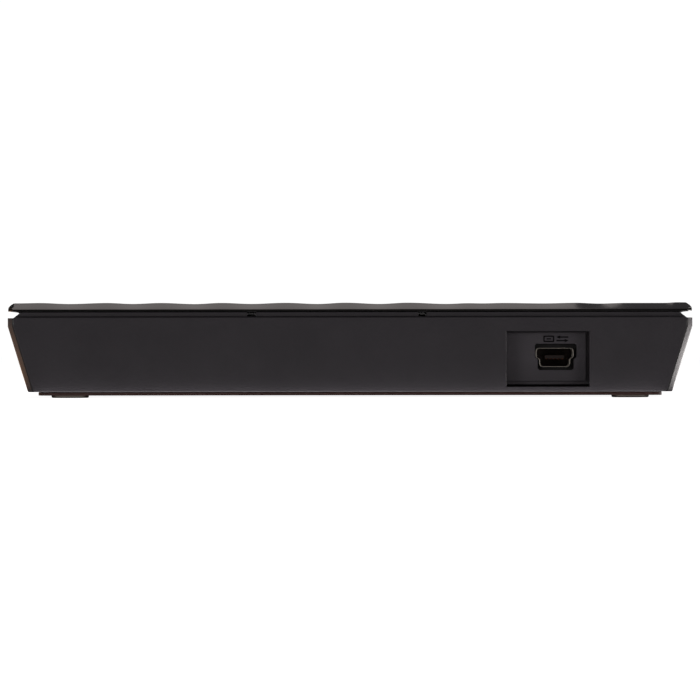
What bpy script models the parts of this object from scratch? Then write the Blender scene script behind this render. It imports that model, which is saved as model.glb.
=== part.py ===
"""A slim external optical disc drive: a tapered two-part case around a tray-loading mechanism.

Metres, +Z up. The tray opens towards -Y and the data socket is in the rear wall, at +Y.
The origin is on the surface that the drive stands on, below the middle of the case.
"""

import math

import bmesh
import bpy
from mathutils import Matrix, Vector

MM = 0.001
GAP = 0.3 * MM

# ---- the case -------------------------------------------------------------------------------
WIDTH = 138 * MM
DEPTH = 144 * MM
HEIGHT = 19.2 * MM
FRONT, REAR = -DEPTH / 2, DEPTH / 2
CORNER = 1.2 * MM

CASE_BOTTOM = 1.24 * MM
CASE_BOTTOM_HALF = 64.9 * MM
BAND_BOTTOM = 14.4 * MM
CASE_TOP = 16.15 * MM
LEDGE = 0.9 * MM
RIM_INSET, RIM_TOP = 2 * MM, 16.85 * MM
FLOOR_TOP = 2.3 * MM
REAR_WALL = 2.4 * MM
CAVITY_BOTTOM_HALF = 63.9 * MM
CAVITY_HALF = 66.6 * MM
CAVITY_BAND = 14 * MM

COVER_BOTTOM = 17.29 * MM
COVER_CEILING = 17.4 * MM
COVER_EDGE = [(17.29, 0.1), (18.1, 0.1), (18.57, 0.4), (18.87, 0.85), (19.07, 1.5), (19.45, 2.4)]
GROOVE_DEPTH = 2.7 * MM
SKIRT_BOTTOM = 14.5 * MM
SKIRT_WALL = 1 * MM
FRONT_SKIRT_BOTTOM = 16.3 * MM

RIPPLE_PITCH = 12.5 * MM
RIPPLE_DEPTH = 0.22 * MM
RIPPLE_END = -50 * MM
RIPPLE_FADE = 7 * MM
RIPPLE_STEPS = 8

PLATE_HALF = 62.95 * MM
PLATE_REAR = 69.8 * MM
PLATE_BOTTOM, PLATE_TOP = 0.52 * MM, 1.12 * MM
FOOT_X, FOOT_Y = 56.9 * MM, 62 * MM
FOOT_RADIUS, FOOT_HEIGHT = 3.8 * MM, 1.1 * MM

# ---- the rear socket ------------------------------------------------------------------------
SOCKET_X, SOCKET_Z = -41.28 * MM, 8.1 * MM
SOCKET_MOUTH, SOCKET_LENGTH = 69.4 * MM, 8.8 * MM
SOCKET_WALL = 0.3 * MM
WINDOW_LOW, WINDOW_HIGH = (-48.2 * MM, 2.15 * MM), (-31.5 * MM, 13.4 * MM)
PORT_PLATE_LOW, PORT_PLATE_HIGH = (-47.55 * MM, 3 * MM), (-29.5 * MM, 14.25 * MM)
PORT_PLATE_FRONT, PORT_PLATE_REAR = 68.2 * MM, 69.3 * MM
PORT_HOLE_X, PORT_HOLE_Z = -41.5 * MM, 8.3 * MM
BOARD_TOP = 6.05 * MM

# ---- the mechanism --------------------------------------------------------------------------
SHEET = 0.5 * MM
PAN_HALF = 63.5 * MM
PAN_FRONT, PAN_REAR = -67 * MM, 58 * MM
PAN_BOTTOM, PAN_TOP = 2.65 * MM, 9 * MM
LID_HALF = 64.2 * MM
LID_TOP, LID_BOTTOM = 15.8 * MM, 8.2 * MM

TRAY_TRAVEL = 124 * MM
TRAY_HALF = 59.5 * MM
TRAY_FRONT, TRAY_REAR = -69.2 * MM, 56 * MM
TRAY_BOTTOM, TRAY_TOP = 4.9 * MM, 12.6 * MM
TRAY_WALL = 1.2 * MM
DECK_BOTTOM, DECK_TOP = 9.5 * MM, 10.9 * MM
DISC_X, DISC_Y = 0.0, -9 * MM
RECESS_RADIUS = 60.6 * MM

BEZEL_FRONT, BEZEL_REAR = -71.6 * MM, -69.5 * MM
BUTTON_X, BUTTON_Z = 48.5 * MM, 9.3 * MM
BUTTON_HALF, BUTTON_RADIUS = 4.2 * MM, 1.4 * MM
LENS_X = 38 * MM
PINHOLE_X = 32 * MM

PICKUP_ANGLE = math.radians(-45)
PICKUP_START = 23 * MM
ROD_V, ROD_Z, ROD_RADIUS = (-15.2 * MM, 15.5 * MM), 6.6 * MM, 1 * MM
ROD_START, ROD_END = 12.2 * MM, 64.4 * MM
SCREW_V, SCREW_Z, SCREW_RADIUS = 11.5 * MM, 7.1 * MM, 0.9 * MM
SEAT_TOP = 11.2 * MM

COLLECTION = "external_disc_drive"
CUTTERS = "cutters"


def clear_scene():
    for obj in list(bpy.data.objects):
        bpy.data.objects.remove(obj, do_unlink=True)


def collection(name):
    found = bpy.data.collections.get(name)
    if found is None:
        found = bpy.data.collections.new(name)
        bpy.context.scene.collection.children.link(found)
    return found


def material(name, colour, roughness, metallic=0.0):
    made = bpy.data.materials.get(name)
    if made is None:
        made = bpy.data.materials.new(name)
        made.use_nodes = True
        shader = made.node_tree.nodes["Principled BSDF"]
        shader.inputs["Base Color"].default_value = (*colour, 1)
        shader.inputs["Roughness"].default_value = roughness
        shader.inputs["Metallic"].default_value = metallic
        made.diffuse_color = (*colour, 1)
    return made


def case_plastic():
    return material("case_plastic", (0.030, 0.029, 0.030), 0.42)


def cover_plastic():
    return material("cover_plastic", (0.020, 0.019, 0.019), 0.22)


def plate_plastic():
    return material("plate_plastic", (0.035, 0.026, 0.022), 0.5)


def foot_rubber():
    return material("foot_rubber", (0.030, 0.029, 0.025), 0.85)


def tray_plastic():
    return material("tray_plastic", (0.028, 0.028, 0.030), 0.55)


def sheet_steel():
    return material("sheet_steel", (0.62, 0.62, 0.60), 0.38, 1.0)


def bright_steel():
    return material("bright_steel", (0.75, 0.75, 0.74), 0.2, 1.0)


def screw_steel():
    return material("screw_steel", (0.10, 0.10, 0.10), 0.4, 1.0)


def board_laminate():
    return material("board_laminate", (0.015, 0.11, 0.045), 0.5)


def chip_epoxy():
    return material("chip_epoxy", (0.02, 0.02, 0.02), 0.6)


def connector_plastic():
    return material("connector_plastic", (0.05, 0.05, 0.05), 0.5)


def acetal():
    return material("acetal", (0.75, 0.74, 0.70), 0.4)


def soft_rubber():
    return material("soft_rubber", (0.04, 0.04, 0.04), 0.8)


def die_cast():
    return material("die_cast", (0.45, 0.45, 0.46), 0.45, 1.0)


def lens_glass():
    return material("lens_glass", (0.35, 0.45, 0.60), 0.05)


def polyimide():
    return material("polyimide", (0.45, 0.20, 0.03), 0.35)


# ---- building blocks ------------------------------------------------------------------------
def add(name, mesh, mat=None, parent=None, location=(0, 0, 0)):
    """One object in the part's collection, or a hidden helper if it has no material."""
    obj = bpy.data.objects.new(name, mesh)
    obj.location = location
    obj.parent = parent
    if mat is None:
        collection(CUTTERS).objects.link(obj)
        obj.hide_render = True
        obj.display_type = "WIRE"
    else:
        collection(COLLECTION).objects.link(obj)
        mesh.materials.clear()
        mesh.materials.append(mat)
    return obj


def mesh_from(bm, name, smooth_angle=None):
    bmesh.ops.recalc_face_normals(bm, faces=bm.faces)
    mesh = bpy.data.meshes.new(name)
    bm.to_mesh(mesh)
    bm.free()
    if smooth_angle is not None:
        mesh.shade_smooth()
        mesh.set_sharp_from_angle(angle=smooth_angle)
    return mesh


def block(name, low, high, mat=None, parent=None, bevel=0.0):
    """A box between two corners, with its origin in its middle."""
    low, high = Vector(low), Vector(high)
    bm = bmesh.new()
    bmesh.ops.create_cube(bm, size=1, matrix=Matrix.Diagonal((*(high - low), 1)))
    obj = add(name, mesh_from(bm, name), mat, parent, (low + high) / 2)
    if bevel:
        edge = obj.modifiers.new("edges", "BEVEL")
        edge.width = bevel
        edge.segments = 2
    return obj


def upright(name, radius, bottom, top, at, mat=None, parent=None, segments=24):
    """A round bar along Z, with its origin on its axis."""
    bm = bmesh.new()
    bmesh.ops.create_cone(
        bm, cap_ends=True, segments=segments, radius1=radius, radius2=radius, depth=top - bottom
    )
    mesh = mesh_from(bm, name, math.radians(35))
    return add(name, mesh, mat, parent, (at[0], at[1], (bottom + top) / 2))


def lying(name, radius, start, end, v, z, mat=None, parent=None, segments=16):
    """A round bar along the parent's X, from start to end."""
    bm = bmesh.new()
    bmesh.ops.create_cone(
        bm, cap_ends=True, segments=segments, radius1=radius, radius2=radius, depth=end - start
    )
    bmesh.ops.rotate(bm, verts=bm.verts, matrix=Matrix.Rotation(math.pi / 2, 3, "Y"))
    mesh = mesh_from(bm, name, math.radians(35))
    return add(name, mesh, mat, parent, ((start + end) / 2, v, z))


def turned(name, profile, at, mat=None, parent=None, steps=32):
    """A solid of revolution about a vertical axis. The profile runs down its outer side."""
    mesh = bpy.data.meshes.new(name)
    mesh.from_pydata([(r, 0, z) for r, z in profile], [(i, i + 1) for i in range(len(profile) - 1)], [])
    obj = add(name, mesh, mat, parent, (*at, 0))
    screw = obj.modifiers.new("turn", "SCREW")
    screw.angle = math.tau
    screw.steps = steps
    screw.render_steps = steps
    screw.use_merge_vertices = True
    screw.merge_threshold = 0.00001
    screw.use_smooth_shade = False
    return obj


def ring_turned(name, outer, inner, bottom, top, at, mat=None, parent=None, steps=24):
    profile = [(inner, top), (outer, top), (outer, bottom), (inner, bottom), (inner, top)]
    return turned(name, profile, at, mat, parent, steps)


def outline_mesh(name, outlines, thickness):
    """A flat outline, with any holes, filled in XY and given a thickness along Z about 0."""
    curve = bpy.data.curves.new(name, "CURVE")
    curve.dimensions = "2D"
    curve.fill_mode = "BOTH"
    curve.extrude = thickness / 2
    for outline in outlines:
        spline = curve.splines.new("POLY")
        spline.points.add(len(outline) - 1)
        for point, (x, y) in zip(spline.points, outline):
            point.co = (x, y, 0, 1)
        spline.use_cyclic_u = True
    helper = bpy.data.objects.new(name + "_curve", curve)
    bpy.context.scene.collection.objects.link(helper)
    bpy.context.view_layer.update()
    mesh = bpy.data.meshes.new_from_object(helper.evaluated_get(bpy.context.evaluated_depsgraph_get()))
    bpy.data.objects.remove(helper)
    bm = bmesh.new()
    bm.from_mesh(mesh)
    bmesh.ops.remove_doubles(bm, verts=bm.verts, dist=0.000001)
    return mesh_from(bm, name)


def flat(name, outlines, bottom, top, mat=None, parent=None):
    """A sheet with an XY outline between two heights."""
    mesh = outline_mesh(name, outlines, top - bottom)
    return add(name, mesh, mat, parent, (0, 0, (bottom + top) / 2))


def extruded(name, outline, front, rear, mat=None, parent=None, x=0.0, z=0.0):
    """A bar with an XZ outline, along Y from front to rear."""
    mesh = outline_mesh(name, [outline], rear - front)
    mesh.transform(Matrix.Rotation(math.pi / 2, 4, "X"))
    return add(name, mesh, mat, parent, (x, (front + rear) / 2, z))


def level(z, half, front, rear, corner):
    """A rectangle with cut corners at height z."""
    return [
        (-half + corner, front, z),
        (half - corner, front, z),
        (half, front + corner, z),
        (half, rear - corner, z),
        (half - corner, rear, z),
        (-half + corner, rear, z),
        (-half, rear - corner, z),
        (-half, front + corner, z),
    ]


def lofted(name, levels, mat=None, parent=None):
    """A solid through rings of equal point counts, closed at both ends."""
    bm = bmesh.new()
    rings = [[bm.verts.new(point) for point in ring] for ring in levels]
    count = len(rings[0])
    for lower, upper in zip(rings, rings[1:]):
        for i in range(count):
            j = (i + 1) % count
            bm.faces.new((lower[i], lower[j], upper[j], upper[i]))
    bm.faces.new(list(reversed(rings[0])))
    bm.faces.new(rings[-1])
    return add(name, mesh_from(bm, name), mat, parent)


def cut(obj, *cutters):
    return combine(obj, cutters, "DIFFERENCE")


def join(obj, *others):
    return combine(obj, others, "UNION")


def combine(obj, others, operation):
    for other in others:
        modifier = obj.modifiers.new(f"{operation.lower()}_{other.name}"[:60], "BOOLEAN")
        modifier.operation = operation
        modifier.solver = "EXACT"
        modifier.object = other
    return obj


def rounded(half_x, half_z, radius, steps=5):
    """A rectangle about 0, 0 with round corners."""
    points = []
    for turn, (sx, sz) in enumerate([(1, 1), (-1, 1), (-1, -1), (1, -1)]):
        for i in range(steps + 1):
            angle = math.pi / 2 * (turn + i / steps)
            points.append(
                (
                    sx * (half_x - radius) + radius * math.cos(angle),
                    sz * (half_z - radius) + radius * math.sin(angle),
                )
            )
    return points


def circle(x, y, radius, steps=24):
    return [
        (x + radius * math.cos(math.tau * i / steps), y + radius * math.sin(math.tau * i / steps))
        for i in range(steps)
    ]


def rectangle(low_x, low_y, high_x, high_y):
    return [(low_x, low_y), (high_x, low_y), (high_x, high_y), (low_x, high_y)]


# ---- the case -------------------------------------------------------------------------------
def socket_outline(grow):
    """The socket's front view: a wide top, stepped sides and a narrower rounded foot."""
    half = [
        (2.5, -1.95),
        (3.0, -1.72),
        (3.15, -1.3),
        (3.15, -0.3),
        (3.85, 0.3),
        (3.85, 1.35),
        (3.67, 1.77),
        (3.25, 1.95),
    ]
    points = []
    for x, z in half:
        length = math.hypot(x - 1.2, z)
        points.append((x * MM + grow * (x - 1.2) / length, z * MM + grow * z / length))
    return points + [(-x, z) for x, z in reversed(points)]


def lower_case():
    half = WIDTH / 2
    body = lofted(
        "lower_case",
        [
            level(CASE_BOTTOM, CASE_BOTTOM_HALF, FRONT, REAR, CORNER),
            level(BAND_BOTTOM, half, FRONT, REAR, CORNER),
            level(CASE_TOP, half, FRONT, REAR, CORNER),
            level(CASE_TOP, half - LEDGE, FRONT + LEDGE, REAR - LEDGE, CORNER / 2),
            level(RIM_TOP, half - RIM_INSET, FRONT + RIM_INSET, REAR - RIM_INSET, GAP),
        ],
        case_plastic(),
    )
    open_front = FRONT - 2 * MM
    rear_inside = REAR - REAR_WALL
    cavity = lofted(
        "case_cavity",
        [
            level(FLOOR_TOP, CAVITY_BOTTOM_HALF, open_front, rear_inside, 0.4 * MM),
            level(CAVITY_BAND, CAVITY_HALF, open_front, rear_inside, 0.4 * MM),
            level(CASE_TOP + 1 * MM, CAVITY_HALF, open_front, rear_inside, 0.4 * MM),
        ],
    )
    cut(body, cavity)
    window = lofted(
        "port_window",
        [
            [(x, rear_inside - 1 * MM, max(z, FLOOR_TOP)) for x, z in rectangle(*WINDOW_LOW, *WINDOW_HIGH)],
            [(x, rear_inside + 0.4 * MM, max(z, FLOOR_TOP)) for x, z in rectangle(*WINDOW_LOW, *WINDOW_HIGH)],
            [(x, REAR, z) for x, z in rectangle(*WINDOW_LOW, *WINDOW_HIGH)],
            [(x, REAR + 1 * MM, z) for x, z in rectangle(*WINDOW_LOW, *WINDOW_HIGH)],
        ],
    )
    cut(body, window)
    for side in (-1, 1):
        at = (side * FOOT_X, FOOT_Y)
        join(body, upright(f"screw_boss_{side}", 3.4 * MM, 2 * MM, 4 * MM, at))
        cut(body, upright(f"screw_counterbore_{side}", 2.1 * MM, 1 * MM, 2.5 * MM, at))
        cut(body, upright(f"screw_hole_{side}", 1.2 * MM, 2 * MM, 5 * MM, at))
    for x, y in PAN_EARS:
        join(body, upright(f"pan_post_{x:.3f}", 2.4 * MM, 2 * MM, 4.7 * MM, (x, y)))
        cut(body, upright(f"pan_post_hole_{x:.3f}", 1.15 * MM, 2.6 * MM, 5 * MM, (x, y)))
    for x, y in BOARD_SCREWS:
        join(body, upright(f"board_post_{x:.3f}", 2 * MM, 2 * MM, 4.75 * MM, (x, y)))
        cut(body, upright(f"board_post_hole_{x:.3f}", 1 * MM, 2.6 * MM, 5 * MM, (x, y)))
    return body


PAN_EARS = [(4 * MM, 61 * MM), (46 * MM, 61 * MM)]
BOARD_SCREWS = [(-50 * MM, 62 * MM), (-6.5 * MM, 62 * MM)]


def ripple(x):
    """How far the cover's top lies under its crests, across the case."""
    share = min(1.0, max(0.0, (x - RIPPLE_END) / RIPPLE_FADE))
    share = share * share * (3 - 2 * share)
    return share * RIPPLE_DEPTH * (1 - math.cos(math.tau * x / RIPPLE_PITCH)) / 2


def top_cover():
    body = lofted(
        "top_cover",
        [
            level(z * MM, WIDTH / 2 - inset * MM, FRONT + inset * MM, REAR - inset * MM, CORNER)
            for z, inset in COVER_EDGE
        ],
        cover_plastic(),
    )
    step = RIPPLE_PITCH / RIPPLE_STEPS
    count = math.ceil((WIDTH / 2 - RIPPLE_END) / step) + 1
    crests = [(RIPPLE_END + i * step, HEIGHT - ripple(RIPPLE_END + i * step)) for i in range(count)]
    wide = WIDTH
    outline = [(-wide, COVER_BOTTOM - 2 * MM), (wide, COVER_BOTTOM - 2 * MM), (wide, HEIGHT)]
    outline += list(reversed(crests)) + [(-wide, HEIGHT)]
    waves = extruded("ripple_block", outline, FRONT - 5 * MM, REAR + 5 * MM)
    combine(body, [waves], "INTERSECT")
    inner = WIDTH / 2 - GROOVE_DEPTH
    skirt = lofted(
        "cover_skirt",
        [
            level(z, inner, FRONT + GROOVE_DEPTH, REAR - GROOVE_DEPTH, 0.8 * MM)
            for z in (SKIRT_BOTTOM, COVER_CEILING + 0.2 * MM)
        ],
    )
    hollow = lofted(
        "cover_hollow",
        [
            level(
                z,
                inner - SKIRT_WALL,
                FRONT + GROOVE_DEPTH + SKIRT_WALL,
                REAR - GROOVE_DEPTH - SKIRT_WALL,
                0.4 * MM,
            )
            for z in (SKIRT_BOTTOM - 1 * MM, COVER_CEILING)
        ],
    )
    front_notch = block(
        "cover_front_notch",
        (-WIDTH, FRONT - 3 * MM, SKIRT_BOTTOM - 1 * MM),
        (WIDTH, FRONT + 6 * MM, FRONT_SKIRT_BOTTOM),
    )
    join(body, skirt)
    cut(body, hollow, front_notch)
    for side in (-1, 1):
        at = (side * FOOT_X, FOOT_Y)
        join(body, upright(f"cover_boss_{side}", 2.8 * MM, 4.4 * MM, COVER_CEILING + 0.4 * MM, at))
        cut(body, upright(f"cover_boss_hole_{side}", 1.15 * MM, 4 * MM, 12 * MM, at))
    for x in (19.9 * MM, -14.6 * MM):
        window = block(
            f"hook_window_{x:.3f}",
            (x - 0.9 * MM, REAR - GROOVE_DEPTH - 2 * MM, 16.3 * MM),
            (x + 0.9 * MM, REAR - 1 * MM, 17.2 * MM),
        )
        cut(body, window)
    return body


def port_plate():
    """The insert behind the window in the rear wall, with the hole for the socket."""
    body = extruded(
        "port_plate",
        rectangle(*PORT_PLATE_LOW, *PORT_PLATE_HIGH),
        PORT_PLATE_FRONT,
        PORT_PLATE_REAR,
        case_plastic(),
    )
    half = [(3.3, -2.75), (3.65, -2.4), (3.65, -0.55), (4.26, -0.1), (4.26, 2.4), (3.95, 2.75)]
    points = [(x * MM, z * MM) for x, z in half]
    points += [(-x, z) for x, z in reversed(points)]
    hole = extruded(
        "port_hole",
        points,
        PORT_PLATE_FRONT - 1 * MM,
        PORT_PLATE_REAR + 1 * MM,
        x=PORT_HOLE_X,
        z=PORT_HOLE_Z,
    )
    return cut(body, hole)


def bottom_plate():
    outlines = [rounded(PLATE_HALF, PLATE_REAR, 2 * MM)]
    for sx in (-1, 1):
        for sy in (-1, 1):
            outlines.append(circle(sx * FOOT_X, sy * FOOT_Y, FOOT_RADIUS + GAP))
    return flat("bottom_plate", outlines, PLATE_BOTTOM, PLATE_TOP, plate_plastic())


def feet():
    profile = [(0, FOOT_HEIGHT), (FOOT_RADIUS, FOOT_HEIGHT), (FOOT_RADIUS, 0.2 * MM)]
    profile += [(FOOT_RADIUS - 0.2 * MM, 0), (0, 0)]
    for sx, side in ((-1, "left"), (1, "right")):
        for sy, end in ((-1, "front"), (1, "rear")):
            turned(f"foot_{end}_{side}", profile, (sx * FOOT_X, sy * FOOT_Y), foot_rubber(), steps=28)


def pan_head_screw(name, at, head_low, head_high, head_radius, tip, shank_radius):
    """A screw with a round head and a cross recess. The tip is above or below the head."""
    screw = upright(name, head_radius, head_low, head_high, at, screw_steel(), segments=20)
    low, high = sorted((tip, (head_low + head_high) / 2))
    join(screw, upright(name + "_shank", shank_radius, low, high, at, segments=12))
    outer = head_low if tip > head_high else head_high
    depth = 0.35 * MM
    arm = 0.65 * head_radius
    for k, (ax, ay) in enumerate(((arm, 0.2 * MM), (0.2 * MM, arm))):
        cut(
            screw,
            block(
                f"{name}_slot_{k}",
                (at[0] - ax, at[1] - ay, outer - depth),
                (at[0] + ax, at[1] + ay, outer + depth),
            ),
        )
    return screw


def case_screws():
    for side, word in ((-1, "left"), (1, "right")):
        at = (side * FOOT_X, FOOT_Y)
        pan_head_screw(f"case_screw_{word}", at, 1.5 * MM, 2.3 * MM, 1.8 * MM, 10 * MM, 0.85 * MM)


# ---- the fixed half of the mechanism --------------------------------------------------------
def mechanism_pan():
    body = block(
        "mechanism_pan",
        (-PAN_HALF, PAN_FRONT, PAN_BOTTOM),
        (PAN_HALF, PAN_REAR, PAN_TOP),
        sheet_steel(),
    )
    hollow = block(
        "pan_hollow",
        (-PAN_HALF + SHEET, PAN_FRONT - 1 * MM, PAN_BOTTOM + SHEET),
        (PAN_HALF - SHEET, PAN_REAR - SHEET, PAN_TOP + 1 * MM),
    )
    link_way = block(
        "pan_link_way",
        (-31 * MM, PAN_REAR - 2 * MM, 4.6 * MM),
        (-9 * MM, PAN_REAR + 2 * MM, PAN_TOP + 1 * MM),
    )
    cut(body, hollow, link_way)
    join(body, upright("latch_pin", 1.2 * MM, 3 * MM, 8 * MM, LATCH_PIN))
    join(body, upright("latch_pin_collar", 2.4 * MM, 2.9 * MM, 4 * MM, LATCH_PIN))
    for x, y in PAN_EARS:
        ear = block(
            f"pan_ear_{x:.3f}",
            (x - 3 * MM, PAN_REAR - 0.3 * MM, 5 * MM),
            (x + 3 * MM, y + 2.6 * MM, 5 * MM + SHEET),
        )
        join(body, ear)
        cut(body, upright(f"pan_ear_hole_{x:.3f}", 1.2 * MM, 4 * MM, 7 * MM, (x, y)))
    return body


def mechanism_lid():
    thickness = 0.4 * MM
    body = block(
        "mechanism_lid",
        (-LID_HALF, -66 * MM, LID_BOTTOM),
        (LID_HALF, PAN_REAR + 0.7 * MM, LID_TOP),
        sheet_steel(),
    )
    hollow = block(
        "lid_hollow",
        (-LID_HALF + thickness, -70 * MM, LID_BOTTOM - 1 * MM),
        (LID_HALF - thickness, PAN_REAR + GAP, LID_TOP - thickness),
    )
    rear_way = block(
        "lid_rear_way",
        (-LID_HALF + 2 * MM, PAN_REAR - 1 * MM, LID_BOTTOM - 1 * MM),
        (LID_HALF - 2 * MM, PAN_REAR + 2 * MM, 12 * MM),
    )
    emboss = upright(
        "lid_emboss", 48 * MM, LID_TOP - 0.2 * MM, LID_TOP + GAP, (DISC_X, DISC_Y), segments=48
    )
    cut(body, hollow, rear_way)
    return join(body, emboss)


def pan_screws():
    for x, word in ((PAN_EARS[0][0], "inner"), (PAN_EARS[1][0], "outer")):
        at = (x, PAN_EARS[0][1])
        pan_head_screw(f"pan_screw_{word}", at, 5.8 * MM, 6.6 * MM, 1.9 * MM, 2.9 * MM, 0.85 * MM)


def mirrored(points, side):
    return [(side * x, z) for x, z in points]


def rail_guide(side, word):
    outline = [(60.3, 3.45), (62.7, 3.45), (62.7, 10.6), (60.3, 10.6)]
    outline += [(60.3, 9.9), (62.1, 9.9), (62.1, 4.9), (60.3, 4.9)]
    points = mirrored([(x * MM, z * MM) for x, z in outline], side)
    extruded(f"rail_guide_{word}", points, -62 * MM, 46 * MM, acetal())


def rail(side, word):
    outline = [(60.0, 5.2), (61.8, 5.2), (61.8, 9.6), (60.0, 9.6)]
    outline += [(60.0, 8.2), (61.0, 8.2), (61.0, 6.6), (60.0, 6.6)]
    points = mirrored([(x * MM, z * MM) for x, z in outline], side)
    extruded(f"rail_{word}", points, -64 * MM, 44 * MM, bright_steel())


def drive_electronics():
    block("drive_board", (-42 * MM, 24 * MM, 3.5 * MM), (50 * MM, 56.5 * MM, 4.4 * MM), board_laminate())
    block("controller_chip", (-6 * MM, 32 * MM, 4.5 * MM), (10 * MM, 48 * MM, 5.9 * MM), chip_epoxy())
    block("motor_driver_chip", (24 * MM, 34 * MM, 4.5 * MM), (34 * MM, 44 * MM, 5.7 * MM), chip_epoxy())
    block("tray_flex_socket", (-36 * MM, 26 * MM, 4.5 * MM), (-14 * MM, 30 * MM, 6 * MM), connector_plastic())
    body = block(
        "link_connector", (-30 * MM, 51 * MM, 4.9 * MM), (-10 * MM, 60.6 * MM, 8.6 * MM), connector_plastic()
    )
    cut(
        body,
        block("link_slot", (-28.5 * MM, 57 * MM, 6.2 * MM), (-11.5 * MM, 62 * MM, 7.4 * MM)),
    )
    return body


# ---- the rear board -------------------------------------------------------------------------
def bridge_board():
    body = block(
        "bridge_board",
        (-53 * MM, 59.2 * MM, BOARD_TOP - 1 * MM),
        (-4 * MM, 66.6 * MM, BOARD_TOP),
        board_laminate(),
    )
    cut(
        body,
        block(
            "bridge_board_notch",
            (-31 * MM, 58 * MM, 4 * MM),
            (-9 * MM, 61 * MM, 7 * MM),
        ),
    )
    for x, y in BOARD_SCREWS:
        cut(body, upright(f"bridge_board_hole_{x:.3f}", 1.1 * MM, 4 * MM, 7 * MM, (x, y)))
    block("bridge_chip", (-26 * MM, 61.3 * MM, 6.15 * MM), (-21 * MM, 66.3 * MM, 7.15 * MM), chip_epoxy())
    for (x, y), word in zip(BOARD_SCREWS, ("outer", "inner")):
        pan_head_screw(
            f"board_screw_{word}", (x, y), 6.2 * MM, 7 * MM, 1.6 * MM, 2.9 * MM, 0.75 * MM
        )
    return body


def usb_socket():
    """The metal shell of the socket, and the insulator with its tongue inside it."""
    rear = SOCKET_MOUTH - SOCKET_LENGTH
    shell = extruded(
        "usb_socket_shell",
        socket_outline(0),
        rear,
        SOCKET_MOUTH,
        bright_steel(),
        x=SOCKET_X,
        z=SOCKET_Z,
    )
    bore = extruded(
        "usb_socket_bore",
        socket_outline(-SOCKET_WALL),
        rear - 1 * MM,
        SOCKET_MOUTH + 1 * MM,
        x=SOCKET_X,
        z=SOCKET_Z,
    )
    cut(shell, bore)
    base = block(
        "usb_socket_insulator",
        (SOCKET_X - 2.4 * MM, rear + 0.2 * MM, SOCKET_Z - 1.2 * MM),
        (SOCKET_X + 2.4 * MM, rear + 2.2 * MM, SOCKET_Z + 1.3 * MM),
        connector_plastic(),
    )
    tongue = block(
        "usb_socket_tongue",
        (SOCKET_X - 2 * MM, rear + 2 * MM, SOCKET_Z - 0.1 * MM),
        (SOCKET_X + 2 * MM, SOCKET_MOUTH - 1.2 * MM, SOCKET_Z + 0.6 * MM),
    )
    join(base, tongue)


# ---- the tray -------------------------------------------------------------------------------
def pickup_empty():
    """The frame of the pickup mechanism: X outward along its travel, from the spindle's axis."""
    empty = bpy.data.objects.new("pickup_axis", None)
    collection(COLLECTION).objects.link(empty)
    empty.location = (DISC_X, DISC_Y, 0)
    empty.rotation_euler = (0, 0, PICKUP_ANGLE)
    return empty


def tray(pickup):
    body = block(
        "tray",
        (-TRAY_HALF, TRAY_FRONT, TRAY_BOTTOM),
        (TRAY_HALF, TRAY_REAR, TRAY_TOP),
        tray_plastic(),
    )
    under = block(
        "tray_under",
        (-TRAY_HALF + TRAY_WALL, TRAY_FRONT + TRAY_WALL, TRAY_BOTTOM - 1 * MM),
        (TRAY_HALF - TRAY_WALL, TRAY_REAR + 1 * MM, DECK_BOTTOM),
    )
    recess = upright(
        "disc_recess", RECESS_RADIUS, DECK_TOP, TRAY_TOP + 1 * MM, (DISC_X, DISC_Y), segments=64
    )
    small_recess = upright(
        "small_disc_recess", 40.6 * MM, DECK_TOP - 0.4 * MM, TRAY_TOP, (DISC_X, DISC_Y), segments=48
    )
    window = block(
        "pickup_window",
        (-16.5 * MM, -15.5 * MM, DECK_BOTTOM - 1 * MM),
        (66.5 * MM, 15.5 * MM, TRAY_TOP + 1 * MM),
        parent=pickup,
    )
    button_way = block(
        "button_way",
        (BUTTON_X - 5.6 * MM, TRAY_FRONT - 1 * MM, 6.6 * MM),
        (BUTTON_X + 5.6 * MM, TRAY_FRONT + 2 * MM, 13.5 * MM),
    )
    tail_cut = block(
        "tray_tail_cut", (-20 * MM, 50 * MM, 5 * MM), (20 * MM, TRAY_REAR + 1 * MM, TRAY_TOP + 1 * MM)
    )
    cut(body, under, recess, small_recess, window, button_way, tail_cut)
    for side in (-1, 1):
        low, high = sorted((side * (TRAY_HALF - 0.2 * MM), side * (TRAY_HALF + 1.2 * MM)))
        tongue = block(
            f"tray_tongue_{side}", (low, -60 * MM, 6.9 * MM), (high, 54 * MM, 7.9 * MM)
        )
        join(body, tongue)
    for x, y in UNDER_SCREWS:
        join(body, upright(f"under_post_{x:.3f}_{y:.3f}", 1.8 * MM, 5 * MM, DECK_BOTTOM + 0.4 * MM, (x, y)))
        cut(body, upright(f"under_post_hole_{x:.3f}_{y:.3f}", 1 * MM, 4 * MM, 8.6 * MM, (x, y)))
    for u, v in DAMPERS:
        post = upright(
            f"damper_post_{u:.3f}_{v:.3f}",
            0.9 * MM,
            6.4 * MM,
            DECK_BOTTOM + 0.4 * MM,
            (u, v),
            parent=pickup,
            segments=12,
        )
        join(body, post)
    join(body, upright("latch_post", 0.9 * MM, 5.4 * MM, DECK_BOTTOM + 0.4 * MM, LATCH_PIVOT, segments=12))
    return body


UNDER_SCREWS = [(-52 * MM, -60 * MM), (-52 * MM, 10 * MM), (52 * MM, 10 * MM)]
DAMPERS = [(-10 * MM, 20.4 * MM), (-10 * MM, -20.4 * MM), (40 * MM, -20.4 * MM)]
LATCH_PIVOT = (-44 * MM, 20 * MM)
LATCH_PIN = (-50 * MM, 40 * MM)


def button_outline(grow):
    return rounded(BUTTON_HALF + grow, BUTTON_RADIUS + grow, BUTTON_RADIUS + grow - 0.01 * MM)


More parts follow.
